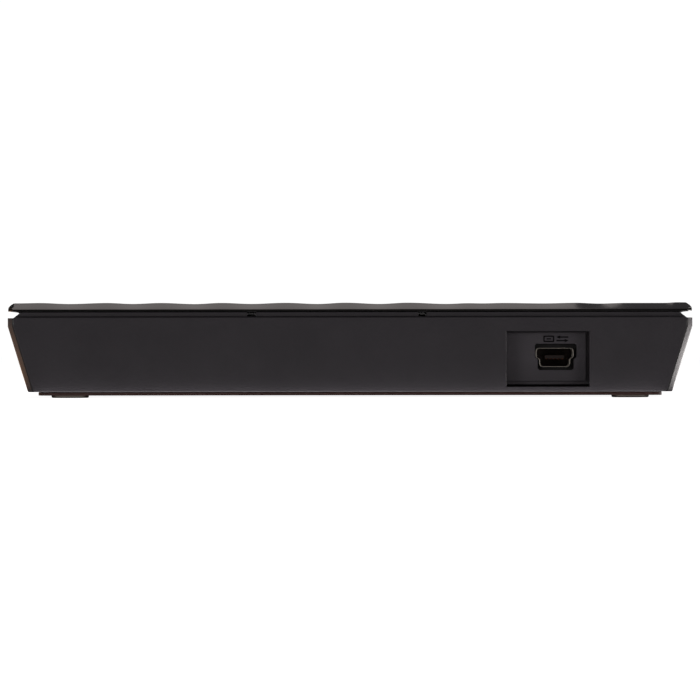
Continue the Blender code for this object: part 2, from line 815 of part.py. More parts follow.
def tray_bezel():
    low_half = CAVITY_BOTTOM_HALF - 0.3 * MM
    high_half = CAVITY_HALF - 0.35 * MM
    outline = [
        (-low_half, 2.65 * MM),
        (low_half, 2.65 * MM),
        (high_half, CAVITY_BAND),
        (high_half, 16 * MM),
        (-high_half, 16 * MM),
        (-high_half, CAVITY_BAND),
    ]
    body = extruded("tray_bezel", outline, BEZEL_FRONT, BEZEL_REAR, case_plastic())
    before, behind = BEZEL_FRONT - 1 * MM, BEZEL_REAR + 1 * MM
    button_hole = extruded(
        "button_hole", button_outline(0.15 * MM), before, behind, x=BUTTON_X, z=BUTTON_Z
    )
    lens_hole = extruded(
        "lens_hole", rectangle(-1.5 * MM, -0.6 * MM, 1.5 * MM, 0.6 * MM), before, behind, x=LENS_X, z=BUTTON_Z
    )
    pinhole = extruded(
        "pinhole", circle(0, 0, 0.6 * MM, 12), before, behind, x=PINHOLE_X, z=BUTTON_Z
    )
    return cut(body, button_hole, lens_hole, pinhole)


def eject_button():
    body = extruded(
        "eject_button", button_outline(0), -71.95 * MM, -69 * MM, case_plastic(), x=BUTTON_X, z=BUTTON_Z
    )
    flange = block(
        "button_flange",
        (BUTTON_X - 5 * MM, -69.2 * MM, BUTTON_Z - 2.2 * MM),
        (BUTTON_X + 5 * MM, -68.6 * MM, BUTTON_Z + 2.2 * MM),
    )
    join(body, flange)
    block(
        "eject_switch",
        (BUTTON_X - 3 * MM, -67.7 * MM, BUTTON_Z - 2.2 * MM),
        (BUTTON_X + 3 * MM, -65.2 * MM, BUTTON_Z + 0.0 * MM),
        connector_plastic(),
    )
    block(
        "activity_lens",
        (LENS_X - 1.35 * MM, -71.7 * MM, BUTTON_Z - 0.45 * MM),
        (LENS_X + 1.35 * MM, -69.4 * MM, BUTTON_Z + 0.45 * MM),
        lens_glass(),
    )


def under_plate():
    outlines = [rectangle(-57.9 * MM, -67.6 * MM, 57.9 * MM, 16 * MM)]
    outlines += [circle(x, y, 1 * MM, 12) for x, y in UNDER_SCREWS]
    outlines.append(circle(-36 * MM, -34 * MM, 9 * MM, 32))
    flat("tray_under_plate", outlines, 4.3 * MM, 4.7 * MM, sheet_steel())
    for (x, y), word in zip(UNDER_SCREWS, ("front_left", "rear_left", "rear_right")):
        pan_head_screw(f"plate_screw_{word}", (x, y), 3.6 * MM, 4.2 * MM, 1.7 * MM, 8 * MM, 0.7 * MM)


def traverse_frame(pickup):
    corner = [(-19, -17.5), (65, -17.5), (69, -13.5), (69, 12.7), (64.2, 17.5), (-19, 17.5)]
    outlines = [[(u * MM, v * MM) for u, v in corner]]
    outlines.append(circle(0, 0, 13 * MM, 36))
    outlines.append(rectangle(13.8 * MM, -13.9 * MM, 66.4 * MM, 13.9 * MM))
    body = flat("traverse_frame", outlines, 8.4 * MM, 9.2 * MM, die_cast(), pickup)
    for u, v in DAMPERS:
        name = f"{u:.3f}_{v:.3f}"
        join(body, upright("ear_" + name, 4 * MM, 8.35 * MM, 9.25 * MM, (u, v), parent=pickup))
        cut(body, upright("ear_hole_" + name, 2.7 * MM, 8 * MM, 10 * MM, (u, v), parent=pickup))
    for v in ROD_V:
        for start in (11.6 * MM, 62.4 * MM):
            holder = block(
                f"rod_holder_{v:.3f}_{start:.3f}",
                (start, v - 1.6 * MM, 5 * MM),
                (start + 2.4 * MM, v + 1.6 * MM, 8.8 * MM),
                parent=pickup,
            )
            join(body, holder)
        cut(body, lying(f"rod_way_{v:.3f}", ROD_RADIUS + 0.2 * MM, 8 * MM, 69 * MM, v, ROD_Z, parent=pickup))
    return body


def traverse_cover(pickup):
    outlines = [rectangle(-16.1 * MM, -15.1 * MM, 66.1 * MM, 15.1 * MM)]
    spindle_way = circle(0, 0, 15.0 * MM, 40)
    body = flat("traverse_cover", outlines, 9.65 * MM, 10.05 * MM, sheet_steel(), pickup)
    cutter = flat("cover_spindle_way", [spindle_way], 9 * MM, 11 * MM, parent=pickup)
    slot = flat(
        "cover_lens_way", [rectangle(12 * MM, -7.4 * MM, 64.6 * MM, 7.4 * MM)], 9 * MM, 11 * MM, parent=pickup
    )
    return cut(body, cutter, slot)


def traverse_dampers(pickup):
    for (u, v), word in zip(DAMPERS, ("rear_right", "rear_left", "front")):
        ring_turned(
            f"damper_{word}", 2.4 * MM, 1.2 * MM, 7.4 * MM, 9.35 * MM, (u, v), soft_rubber(), pickup
        )


def guide_rods(pickup):
    for v, word in zip(ROD_V, ("left", "right")):
        lying(f"guide_rod_{word}", ROD_RADIUS, ROD_START, ROD_END, v, ROD_Z, bright_steel(), pickup)


def sled_drive(pickup):
    lying(
        "sled_motor", 2.1 * MM, 54.6 * MM, 63.6 * MM, SCREW_V, SCREW_Z, die_cast(), pickup, segments=20
    )
    lying("lead_screw", SCREW_RADIUS, 15 * MM, 54.2 * MM, SCREW_V, SCREW_Z, bright_steel(), pickup)


def spindle(pickup):
    """The motor's base with its bearing, and the rotor with the disc's seat and hub."""
    base = [(1.8, 7.6), (3.4, 7.6), (3.4, 5.5), (13.2, 5.5), (13.2, 4.95), (1.8, 4.95), (1.8, 7.6)]
    stator = turned(
        "spindle_base",
        [(r * MM, z * MM) for r, z in base],
        (0, 0),
        sheet_steel(),
        pickup,
        steps=36,
    )
    for k in range(3):
        angle = math.tau * (k + 0.5) / 3
        at = (15 * MM * math.cos(angle), 15 * MM * math.sin(angle))
        join(stator, upright(f"spindle_post_{k}", 1.4 * MM, 5.0 * MM, 8.1 * MM, at, parent=pickup, segments=12))
        arm = upright(f"spindle_arm_{k}", 2.6 * MM, 4.97 * MM, 5.48 * MM, at, parent=pickup, segments=16)
        join(stator, arm)
    rotor = [
        (0, 12.8),
        (2.2, 12.8),
        (2.5, 13.3),
        (6.2, 13.3),
        (7.4, 12.6),
        (7.4, 11.2),
        (14.5, 11.2),
        (14.5, 9.9),
        (8, 9.9),
        (8, 9.0),
        (12.4, 9.0),
        (12.4, 5.9),
        (11.6, 5.9),
        (11.6, 8.2),
        (1.5, 8.2),
        (1.5, 5.3),
        (0, 5.3),
    ]
    body = turned(
        "spindle_rotor", [(r * MM, z * MM) for r, z in rotor], (0, 0), die_cast(), pickup, steps=36
    )
    for k, empty in enumerate(claw_empties(pickup)):
        slot = block(
            f"claw_slot_{k}",
            (3.6 * MM, -1.1 * MM, 11.65 * MM),
            (9 * MM, 1.1 * MM, 12.85 * MM),
            parent=empty,
        )
        cut(body, slot)
        block(
            f"hub_claw_{k + 1}",
            (4.6 * MM, -0.8 * MM, 11.95 * MM),
            (7.85 * MM, 0.8 * MM, 12.55 * MM),
            acetal(),
            empty,
        )
    ring_turned("disc_pad", 14 * MM, 9.5 * MM, SEAT_TOP + 0.1 * MM, 11.6 * MM, (0, 0), soft_rubber(), pickup, 36)


def claw_empties(pickup):
    for k in range(3):
        empty = bpy.data.objects.new(f"claw_axis_{k + 1}", None)
        collection(COLLECTION).objects.link(empty)
        empty.parent = pickup
        empty.rotation_euler = (0, 0, math.tau * k / 3 + math.pi / 3)
        yield empty


def pickup_sled(pickup):
    """The sled on its two rods, with the floating lens holder at its start radius."""
    u = PICKUP_START
    body = block(
        "pickup_sled",
        (u - 8.6 * MM, -12.6 * MM, 5 * MM),
        (u + 6.5 * MM, 9.1 * MM, 9.3 * MM),
        die_cast(),
        pickup,
    )
    left_rod, right_rod = ROD_V
    sleeve = block(
        "sled_sleeve",
        (u - 8.2 * MM, left_rod - 1.7 * MM, 5.02 * MM),
        (u + 4 * MM, -12.4 * MM, 8.1 * MM),
        parent=pickup,
    )
    arm = block(
        "sled_arm",
        (u - 8 * MM, 9 * MM, 5.02 * MM),
        (u - 4.2 * MM, 14.2 * MM, 5.8 * MM),
        parent=pickup,
    )
    hook = block(
        "sled_hook",
        (u - 8 * MM, 13.9 * MM, 5.02 * MM),
        (u - 4.2 * MM, 17.1 * MM, 8.1 * MM),
        parent=pickup,
    )
    join(body, sleeve, arm, hook)
    cut(
        body,
        *[
            lying(f"sled_bore_{v:.3f}", ROD_RADIUS + 0.15 * MM, 0, 60 * MM, v, ROD_Z, parent=pickup)
            for v in ROD_V
        ],
        block(
            "lens_pocket",
            (u - 6.2 * MM, -7.2 * MM, 8.0 * MM),
            (u + 5.2 * MM, 7.2 * MM, 10 * MM),
            parent=pickup,
        ),
    )
    holder = block(
        "lens_holder",
        (u - 4 * MM, -5.2 * MM, 8.6 * MM),
        (u + 4 * MM, 5.2 * MM, 10.1 * MM),
        connector_plastic(),
        pickup,
    )
    cut(holder, upright("lens_seat", 2.3 * MM, 9.2 * MM, 11 * MM, (u, 0), parent=pickup, segments=24))
    lens = [(0, 10.5), (0.9, 10.4), (1.6, 10.1), (2.0, 9.7), (2.0, 9.45), (0, 9.45)]
    turned("objective_lens", [(r * MM, z * MM) for r, z in lens], (u, 0), lens_glass(), pickup, steps=24)


def latch():
    """The hook that holds the tray on the pan's pin, shown swung clear of it."""
    empty = bpy.data.objects.new("latch_axis", None)
    collection(COLLECTION).objects.link(empty)
    empty.location = (*LATCH_PIVOT, 0)
    empty.rotation_euler = (0, 0, math.radians(-10))
    outline = [(-3.9, 0), (-3.9, 21.5), (-6.5, 21.5), (-6.5, 23.5), (-1.9, 23.5), (-1.9, 5)]
    outline += [(2.0, 1.6), (2.0, -2.0), (-2.4, -2.0)]
    outlines = [[(x * MM, y * MM) for x, y in outline], circle(0, 0, 1.2 * MM, 16)]
    flat("latch_lever", outlines, 6 * MM, 7.2 * MM, sheet_steel(), empty)
    block("eject_solenoid", (-40 * MM, 6 * MM, 5.2 * MM), (-31 * MM, 19 * MM, 9.2 * MM), sheet_steel())


def ribbons():
    """Flat cable runs: one fixed along the pan's floor, one under the tray's deck."""
    block("board_flex", (-34 * MM, -12 * MM, 3.45 * MM), (-16 * MM, 23.7 * MM, 3.65 * MM), polyimide())
    block("tray_flex", (-30 * MM, 16.5 * MM, 9.0 * MM), (-12 * MM, 48 * MM, 9.2 * MM), polyimide())


def main():
    clear_scene()
    lower_case()
    top_cover()
    bottom_plate()
    feet()
    case_screws()
    mechanism_pan()
    mechanism_lid()
    pan_screws()
    drive_electronics()
    bridge_board()
    usb_socket()
    port_plate()
    pickup = pickup_empty()
    tray(pickup)
    tray_bezel()
    eject_button()
    under_plate()
    traverse_frame(pickup)
    traverse_cover(pickup)
    traverse_dampers(pickup)
    guide_rods(pickup)
    sled_drive(pickup)
    spindle(pickup)
    pickup_sled(pickup)
    latch()
    ribbons()
    for side, word in ((-1, "left"), (1, "right")):
        rail_guide(side, word)
        rail(side, word)


main()
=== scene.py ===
"""The look of the slim external disc drive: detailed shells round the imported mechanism, lights and camera."""

import math

import bmesh
import bpy
from mathutils import Matrix, Vector


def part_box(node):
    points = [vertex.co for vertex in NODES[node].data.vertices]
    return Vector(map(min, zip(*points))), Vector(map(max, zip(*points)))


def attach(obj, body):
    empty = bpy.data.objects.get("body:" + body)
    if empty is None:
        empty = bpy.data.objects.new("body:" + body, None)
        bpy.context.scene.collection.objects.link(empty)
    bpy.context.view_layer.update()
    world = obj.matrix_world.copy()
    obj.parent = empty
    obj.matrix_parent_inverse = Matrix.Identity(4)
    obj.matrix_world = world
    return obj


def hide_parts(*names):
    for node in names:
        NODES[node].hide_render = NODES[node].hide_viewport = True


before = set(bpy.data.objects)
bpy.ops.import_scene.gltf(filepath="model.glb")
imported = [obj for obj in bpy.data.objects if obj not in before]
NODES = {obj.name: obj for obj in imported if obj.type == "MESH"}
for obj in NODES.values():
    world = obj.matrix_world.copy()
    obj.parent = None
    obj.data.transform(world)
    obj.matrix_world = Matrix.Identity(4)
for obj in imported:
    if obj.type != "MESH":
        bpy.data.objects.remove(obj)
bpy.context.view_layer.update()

MM = 0.001

# The case's front, rear, half width and height in millimetres, from the imported parts.
CASE_LOW, CASE_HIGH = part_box("lower_case")
REAR = CASE_HIGH.y
F, R, W = CASE_LOW.y / MM, REAR / MM, CASE_HIGH.x / MM
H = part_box("top_cover")[1].z / MM

# The lower case, in millimetres: the heights of its underside, of the start and the bend of its
# side walls and of its ledge, and its half width where the walls start. Its four corners are cut,
# and a thin dark line of painted shade runs just inside each cut.
UNDERSIDE, WALL_LOW, WALL_BEND, LEDGE = 1.24, 1.48, 14.43, 16.14
HALF_LOW = 65.02
CORNER = 1.15
# The painted shade line: its inset from the case's side, the half width it stays fully dark over, and where it
# has faded out, in millimetres.
SHADE_LINE_INSET, SHADE_LINE_HALF, SHADE_LINE_FADE = 1.12, 0.05, 0.2

# Openings in the rear wall: the port's window, the socket's hole and centre, the two hook windows.
WINDOW = (-48.2, 2.15, -31.5, 13.4)
PORT_HOLE = (-41.5, 8.3)
SOCKET = (-41.28, 8.1)
HOOK_WINDOWS = ((19.85, 0.92), (-14.6, 0.8))

# The cover's flat top ends at its edges, and the rim falls from there.
COVER_EDGE, COVER_END = 67.6, R - 1.75
COVER_MEAN = H - 0.09

FOOT_AT = (56.9, 62)
DISC_Y = -9
PICKUP_ANGLE = math.radians(-45)
BUTTON, BUTTON_X, LENS_X, PIN_X, BUTTON_Z = (4.2, 1.4), 48.5, 38.0, 32, 9.3
DRIVE_BOARD_TOP, BRIDGE_BOARD_TOP = 4.43, 6.08


# ---- shader helpers -------------------------------------------------------------------------
class Shader:
    """A material being built: one Principled shader and the nodes that feed it."""

    def __init__(self, name, **values):
        self.material = bpy.data.materials.new(name)
        self.material.use_nodes = True
        self.tree = self.material.node_tree
        self.bsdf = self.tree.nodes["Principled BSDF"]
        for key, value in values.items():
            self.bsdf.inputs[key.replace("_", " ").title()].default_value = value
        self.place = self.tree.nodes.new("ShaderNodeTexCoord").outputs["Object"]

    def node(self, kind, **inputs):
        made = self.tree.nodes.new("ShaderNode" + kind)
        for key, value in inputs.items():
            socket = made.inputs[key.replace("_", " ")]
            if isinstance(value, bpy.types.NodeSocket):
                self.tree.links.new(value, socket)
            else:
                socket.default_value = value
        return made

    def link(self, output, name):
        self.tree.links.new(output, self.bsdf.inputs[name])

    def scaled(self, x, y, z):
        """Object coordinates stretched along each axis."""
        mapping = self.node("Mapping", Vector=self.place)
        mapping.inputs["Scale"].default_value = (x, y, z)
        return mapping.outputs["Vector"]

    def noise(self, scale, detail=3.0, roughness=0.5, at=None):
        made = self.node("TexNoise", Vector=at or self.place, Scale=scale, Detail=detail)
        made.inputs["Roughness"].default_value = roughness
        return made.outputs["Fac"]

    def voronoi(self, scale, at=None, feature="F1"):
        made = self.tree.nodes.new("ShaderNodeTexVoronoi")
        made.feature = feature
        made.inputs["Scale"].default_value = scale
        self.tree.links.new(at or self.place, made.inputs["Vector"])
        return made.outputs["Distance"]

    def spread(self, value, low, high, start=0.3, end=0.7):
        """A texture value mapped onto a range."""
        made = self.node("MapRange", Value=value)
        made.inputs["From Min"].default_value = start
        made.inputs["From Max"].default_value = end
        made.inputs["To Min"].default_value = low
        made.inputs["To Max"].default_value = high
        return made.outputs["Result"]

    def ramp(self, value, stops):
        made = self.node("ValToRGB", Fac=value)
        elements = made.color_ramp.elements
        while len(elements) < len(stops):
            elements.new(0.5)
        for element, (position, colour) in zip(elements, stops):
            element.position = position
            element.color = (*colour, 1)
        return made.outputs["Color"]

    def bump(self, height, distance, strength=1.0, below=None):
        made = self.node("Bump", Height=height, Strength=strength, Distance=distance)
        if below is not None:
            self.tree.links.new(below, made.inputs["Normal"])
        return made.outputs["Normal"]

    def mix(self, factor, first, second):
        made = self.tree.nodes.new("ShaderNodeMix")
        made.data_type = "RGBA"
        for socket, value in ((0, factor), (6, first), (7, second)):
            if isinstance(value, bpy.types.NodeSocket):
                self.tree.links.new(value, made.inputs[socket])
            else:
                made.inputs[socket].default_value = (*value, 1) if socket else value
        return made.outputs[2]

    def calc(self, operation, *values):
        made = self.tree.nodes.new("ShaderNodeMath")
        made.operation = operation
        for socket, value in zip(made.inputs, values):
            if isinstance(value, bpy.types.NodeSocket):
                self.tree.links.new(value, socket)
            else:
                socket.default_value = value
        return made.outputs[0]

    def painted_shade_line(self):
        """1 along a thin line of painted shade just inside the cut corners, on the front and the rear, and 0
        elsewhere.
        """
        x, y, z = self.node("SeparateXYZ", Vector=self.place).outputs[:]
        slope = (W - HALF_LOW) / (WALL_BEND - WALL_LOW)
        height = self.calc("MINIMUM", z, WALL_BEND * MM)
        half = self.calc("MULTIPLY_ADD", height, slope, (HALF_LOW - WALL_LOW * slope) * MM)
        shade_line_x = self.calc("SUBTRACT", half, SHADE_LINE_INSET * MM)
        off = self.calc("ABSOLUTE", self.calc("SUBTRACT", self.calc("ABSOLUTE", x), shade_line_x))
        near = self.spread(off, 1.0, 0.0, SHADE_LINE_HALF * MM, SHADE_LINE_FADE * MM)
        at_end = self.calc("GREATER_THAN", self.calc("ABSOLUTE", y), (R - 0.4) * MM)
        return self.calc("MULTIPLY", near, at_end)


def moulded(name, colour, roughness, grain=2600, lift=1.25, shine=0.5, painted_shade_line=False):
    """Moulded plastic: fine spark-eroded grain, slow colour drift and uneven sheen, and where asked a line of
    painted shade along the cut corners.
    """
    shade = Shader(name, base_color=(*colour, 1), roughness=roughness)
    drift = shade.noise(90, 4)
    lighter = tuple(min(1.0, c * lift) for c in colour)
    base = shade.ramp(drift, [(0.35, colour), (0.7, lighter)])
    # Where asked, the base colour is darkened to painted shade along the cut corners.
    shade.link(shade.mix(shade.painted_shade_line(), base, PAINTED_SHADE_BLACK) if painted_shade_line else base, "Base Color")
    fine = shade.noise(grain, 2, 0.6)
    wide = shade.noise(260, 3)
    shade.link(shade.spread(wide, roughness - 0.05, roughness + 0.06), "Roughness")
    shade.link(shade.bump(fine, 0.00003, 0.55), "Normal")
    shade.bsdf.inputs["Specular IOR Level"].default_value = shine
    return shade.material


def polished(name, colour, roughness=0.16):
    """Gloss plastic with hairline scratches and faint sink waves."""
    shade = Shader(name, base_color=(*colour, 1), roughness=roughness)
    tone = shade.noise(60, 3)
    shade.link(
        shade.ramp(tone, [(0.3, colour), (0.75, tuple(c * 1.3 for c in colour))]), "Base Color"
    )
    hair = shade.noise(900, 2, 0.5, at=shade.scaled(1.0, 0.05, 1.0))
    smear = shade.noise(45, 4)
    shade.link(shade.spread(smear, roughness - 0.03, roughness + 0.08), "Roughness")
    waves = shade.bump(shade.noise(70, 1), 0.00002, 0.3)
    shade.link(shade.bump(hair, 0.000006, 0.4, below=waves), "Normal")
    return shade.material


def sheet_metal(name, colour, roughness, direction=(1.0, 0.04, 1.0)):
    """Rolled sheet: brushed along one axis and mottled by its plating."""
    shade = Shader(name, base_color=(*colour, 1), roughness=roughness, metallic=1.0)
    grain = shade.noise(2400, 3, 0.6, at=shade.scaled(*direction))
    blotch = shade.noise(120, 5, 0.6)
    dark = tuple(c * 0.82 for c in colour)
    shade.link(shade.ramp(blotch, [(0.3, dark), (0.65, colour)]), "Base Color")
    shade.link(shade.spread(grain, roughness - 0.04, roughness + 0.06), "Roughness")
    shade.link(shade.bump(grain, 0.000006, 0.25), "Normal")
    return shade.material


def cast_metal(name, colour, roughness=0.42):
    """Die casting: small pits and a blotchy skin."""
    shade = Shader(name, base_color=(*colour, 1), roughness=roughness, metallic=1.0)
    pits = shade.voronoi(1500)
    blotch = shade.noise(160, 5, 0.65)
    shade.link(shade.ramp(blotch, [(0.3, tuple(c * 0.75 for c in colour)), (0.7, colour)]), "Base Color")
    shade.link(shade.spread(blotch, roughness - 0.08, roughness + 0.12), "Roughness")
    shade.link(shade.bump(pits, 0.00003, 0.45), "Normal")
    return shade.material


def rubber(name, colour, roughness=0.85):
    """Dull rubber with patches of dust."""
    shade = Shader(name, base_color=(*colour, 1), roughness=roughness)
    dust = shade.noise(420, 5, 0.7)
    dusty = tuple(c * 1.7 + 0.006 for c in colour)
    shade.link(shade.ramp(dust, [(0.45, colour), (0.8, dusty)]), "Base Color")
    shade.link(shade.bump(shade.noise(3200, 2), 0.00004, 0.6), "Normal")
    shade.link(shade.spread(dust, roughness - 0.08, min(0.98, roughness + 0.08)), "Roughness")
    return shade.material


def laminate(name):
    """Circuit board: solder mask over a faint grid of copper tracks and the glass weave."""
    shade = Shader(name, roughness=0.32)
    weave = shade.noise(900, 2)
    cells = shade.voronoi(420, at=shade.scaled(1.0, 2.2, 1.0), feature="DISTANCE_TO_EDGE")
    tracks = shade.spread(cells, 1.0, 0.0, 0.02, 0.05)
    green = shade.ramp(weave, [(0.3, (0.006, 0.060, 0.022)), (0.7, (0.010, 0.085, 0.032))])
    shade.link(shade.mix(tracks, green, (0.030, 0.150, 0.050)), "Base Color")
    shade.link(shade.bump(tracks, 0.00003, 0.5), "Normal")
    shade.link(shade.spread(weave, 0.26, 0.42), "Roughness")
    return shade.material


def epoxy(name):
    """Black moulding compound of the chips."""
    shade = Shader(name, roughness=0.55)
    fine = shade.noise(3500, 2)
    shade.link(shade.ramp(fine, [(0.3, (0.012, 0.012, 0.013)), (0.7, (0.026, 0.026, 0.028))]), "Base Color")
    shade.link(shade.bump(fine, 0.00003, 0.6), "Normal")
    shade.link(shade.spread(shade.noise(300, 3), 0.5, 0.65), "Roughness")
    return shade.material


def film(name):
    """Polyimide ribbon: amber film with copper conductors showing through as stripes."""
    shade = Shader(name, roughness=0.25)
    wave = shade.tree.nodes.new("ShaderNodeTexWave")
    wave.bands_direction = "X"
    wave.inputs["Scale"].default_value = 320
    shade.tree.links.new(shade.place, wave.inputs["Vector"])
    stripes = shade.spread(wave.outputs["Fac"], 0.0, 1.0, 0.35, 0.5)
    shade.link(shade.mix(stripes, (0.28, 0.085, 0.008), (0.50, 0.19, 0.035)), "Base Color")
    shade.link(shade.spread(shade.noise(200, 3), 0.2, 0.36), "Roughness")
    shade.link(shade.bump(stripes, 0.00003, 0.4), "Normal")
    return shade.material


def lens_material(name, tint):
    """Clear tinted plastic with a hard coat."""
    shade = Shader(name, roughness=0.04)
    shade.bsdf.inputs["Transmission Weight"].default_value = 0.75
    shade.bsdf.inputs["IOR"].default_value = 1.5
    shade.bsdf.inputs["Coat Weight"].default_value = 0.6
    shade.link(
        shade.ramp(shade.noise(300, 2), [(0.2, tint), (0.8, tuple(min(1.0, c * 1.2) for c in tint))]),
        "Base Color",
    )
    shade.link(shade.spread(shade.noise(700, 2), 0.02, 0.07), "Roughness")
    return shade.material


BASE_BLACK = (0.047, 0.042, 0.047)
# The colour of the painted shade line at the case's cut corners.
PAINTED_SHADE_BLACK = (0.003, 0.002, 0.002)
BASE_PLASTIC = moulded("base_plastic", BASE_BLACK, 0.36, lift=1.12, shine=0.36)
# The case's plastic, carrying the painted shade line along its cut corners.
CASE_BLACK = moulded("case_plastic_look", BASE_BLACK, 0.36, lift=1.12, shine=0.36, painted_shade_line=True)
COVER_PLASTIC = polished("cover_gloss", (0.0042, 0.0030, 0.0028), 0.07)
PLATE_PLASTIC = moulded("underside_plastic", (0.062, 0.027, 0.0225), 0.5, grain=1800, shine=0.3)
# The case's plastic painted lighter for the port plate, to offset the shade of its recess.
PORT_PLASTIC_PAINTED_LIGHT = moulded("port_plastic_painted_light", (0.070, 0.063, 0.070), 0.38, shine=0.25, lift=1.12)
FOOT_RUBBER = rubber("foot_rubber_look", (0.052, 0.047, 0.041))
TRAY_PLASTIC = moulded("tray_plastic_look", (0.016, 0.016, 0.018), 0.5, grain=2200)
STEEL = sheet_metal("zinc_sheet", (0.60, 0.61, 0.60), 0.34)
STEEL_DARK = sheet_metal("motor_sheet", (0.42, 0.42, 0.43), 0.36, direction=(1, 1, 0.1))
BRIGHT = sheet_metal("bright_steel_look", (0.74, 0.74, 0.73), 0.2, direction=(1.0, 0.02, 1.0))
RAIL_STEEL = sheet_metal("rail_steel", (0.66, 0.66, 0.66), 0.26, direction=(1.0, 0.02, 1.0))
SCREW_BLACK = sheet_metal("black_zinc", (0.085, 0.083, 0.085), 0.36, direction=(1, 1, 1))
NICKEL = sheet_metal("socket_nickel", (0.62, 0.57, 0.50), 0.46, direction=(1.0, 0.05, 1.0))
CAST = cast_metal("die_casting", (0.48, 0.48, 0.50))
ROTOR = cast_metal("rotor_metal", (0.58, 0.58, 0.60), 0.3)
GREEN = laminate("circuit_board")
EPOXY = epoxy("chip_black")
SOCKET_BLACK = moulded("socket_insulator_black", (0.024, 0.0165, 0.0145), 0.6, shine=0.2)
# Near-black foam, standing in as painted shade for the gap round the socket.
SHADE_FOAM = rubber("socket_shade_sheet_foam", (0.008, 0.007, 0.007), 0.95)
MARK_BLACK = moulded("mark_black", (0.0025, 0.002, 0.0025), 0.6, shine=0.08)
GOLD = sheet_metal("contact_gold", (0.20, 0.075, 0.04), 0.5)
CONNECTOR = moulded("connector_black", (0.018, 0.016, 0.016), 0.5)
ACETAL = moulded("acetal_white", (0.66, 0.65, 0.60), 0.36, lift=1.08)
PAD_RUBBER = rubber("pad_rubber", (0.028, 0.028, 0.030), 0.8)
FILM = film("ribbon_film")
COPPER = sheet_metal("coil_copper", (0.62, 0.25, 0.10), 0.32, direction=(0.05, 1.0, 1.0))
CERAMIC = moulded("capacitor_ceramic", (0.30, 0.19, 0.10), 0.4, grain=3200)
LABEL = moulded("blank_label", (0.30, 0.30, 0.31), 0.45, grain=3600, lift=1.1)
LENS = lens_material("lens_clear", (0.55, 0.66, 0.85))
LIGHT_PIPE = lens_material("indicator_lens", (0.50, 0.62, 0.55))


# ---- mesh helpers ---------------------------------------------------------------------------
def link(name, mesh, material=None, at=(0, 0, 0)):
    obj = bpy.data.objects.new(name, mesh)
    bpy.context.scene.collection.objects.link(obj)
    obj.location = at
    if material is not None:
        mesh.materials.clear()
        mesh.materials.append(material)
    return obj


def from_bmesh(name, bm, material=None, at=(0, 0, 0)):
    """An object from a closed working mesh, with its faces turned outwards."""
    bmesh.ops.recalc_face_normals(bm, faces=bm.faces)
    mesh = bpy.data.meshes.new(name)
    bm.to_mesh(mesh)
    bm.free()
    return link(name, mesh, material, at)


def loft(name, rings, material=None):
    """A solid through rings of equal point counts, in millimetres."""
    bm = bmesh.new()
    made = [[bm.verts.new(Vector(point) * MM) for point in ring] for ring in rings]
    count = len(made[0])
    for lower, upper in zip(made, made[1:]):
        for i in range(count):
            j = (i + 1) % count
            bm.faces.new((lower[i], lower[j], upper[j], upper[i]))
    bm.faces.new(list(reversed(made[0])))
    bm.faces.new(made[-1])
    return from_bmesh(name, bm, material)


def box(name, low, high):
    """A box between two corners, in millimetres."""
    low, high = Vector(low), Vector(high)
    rings = [
        [(low.x, low.y, z), (high.x, low.y, z), (high.x, high.y, z), (low.x, high.y, z)]
        for z in (low.z, high.z)
    ]
    return loft(name, rings)


def prism(name, outline, front, rear, material=None, at=(0, 0)):
    """An XZ outline run along Y, in millimetres."""
    rings = [[(x + at[0], y, z + at[1]) for x, z in outline] for y in (front, rear)]
    return loft(name, rings, material)


def disc(name, at, radius, low, high, steps=32):
    """An upright cylinder between two heights, in millimetres."""
    rings = [
        [
            (
                at[0] + radius * math.cos(math.tau * i / steps),
                at[1] + radius * math.sin(math.tau * i / steps),
                z,
            )
            for i in range(steps)
        ]
        for z in (low, high)
    ]
    return loft(name, rings)


def lathe(name, profile, at=(0, 0), material=None, steps=48):
    """A solid of revolution about a vertical axis, from a closed profile in millimetres."""
    bm = bmesh.new()
    columns = []
    for i in range(steps):
        angle = math.tau * i / steps
        columns.append(
            [
                bm.verts.new(
                    Vector((at[0] + r * math.cos(angle), at[1] + r * math.sin(angle), z)) * MM
                )
                if r > 0
                else None
                for r, z in profile
            ]
        )
    poles = {
        k: bm.verts.new(Vector((at[0], at[1], z)) * MM)
        for k, (r, z) in enumerate(profile)
        if r <= 0
    }
    count = len(profile)
    for i in range(steps):
        one, two = columns[i], columns[(i + 1) % steps]
        for k in range(count):
            m = (k + 1) % count
            corners = [
                one[k] or poles[k],
                two[k] or poles[k],
                two[m] or poles[m],
                one[m] or poles[m],
            ]
            unique = list(dict.fromkeys(corners))
            if len(unique) >= 3:
                bm.faces.new(unique)
    return from_bmesh(name, bm, material)


def boolean(obj, tools, operation="DIFFERENCE"):
    """Cut or join with other objects, which are used up."""
    for tool in tools:
        modifier = obj.modifiers.new("shape", "BOOLEAN")
        modifier.operation = operation
        modifier.solver = "EXACT"
        modifier.object = tool
    bpy.context.view_layer.update()
    graph = bpy.context.evaluated_depsgraph_get()
    mesh = bpy.data.meshes.new_from_object(obj.evaluated_get(graph))
    obj.modifiers.clear()
    obj.data = mesh
    for tool in tools:
        bpy.data.objects.remove(tool, do_unlink=True)
    return obj


def join(name, pieces, material=None):
    """Several meshes as one piece."""
    bm = bmesh.new()
    for piece in pieces:
        piece.data.transform(piece.matrix_world)
        bm.from_mesh(piece.data)
        bpy.data.objects.remove(piece, do_unlink=True)
    mesh = bpy.data.meshes.new(name)
    bm.to_mesh(mesh)
    bm.free()
    return link(name, mesh, material)


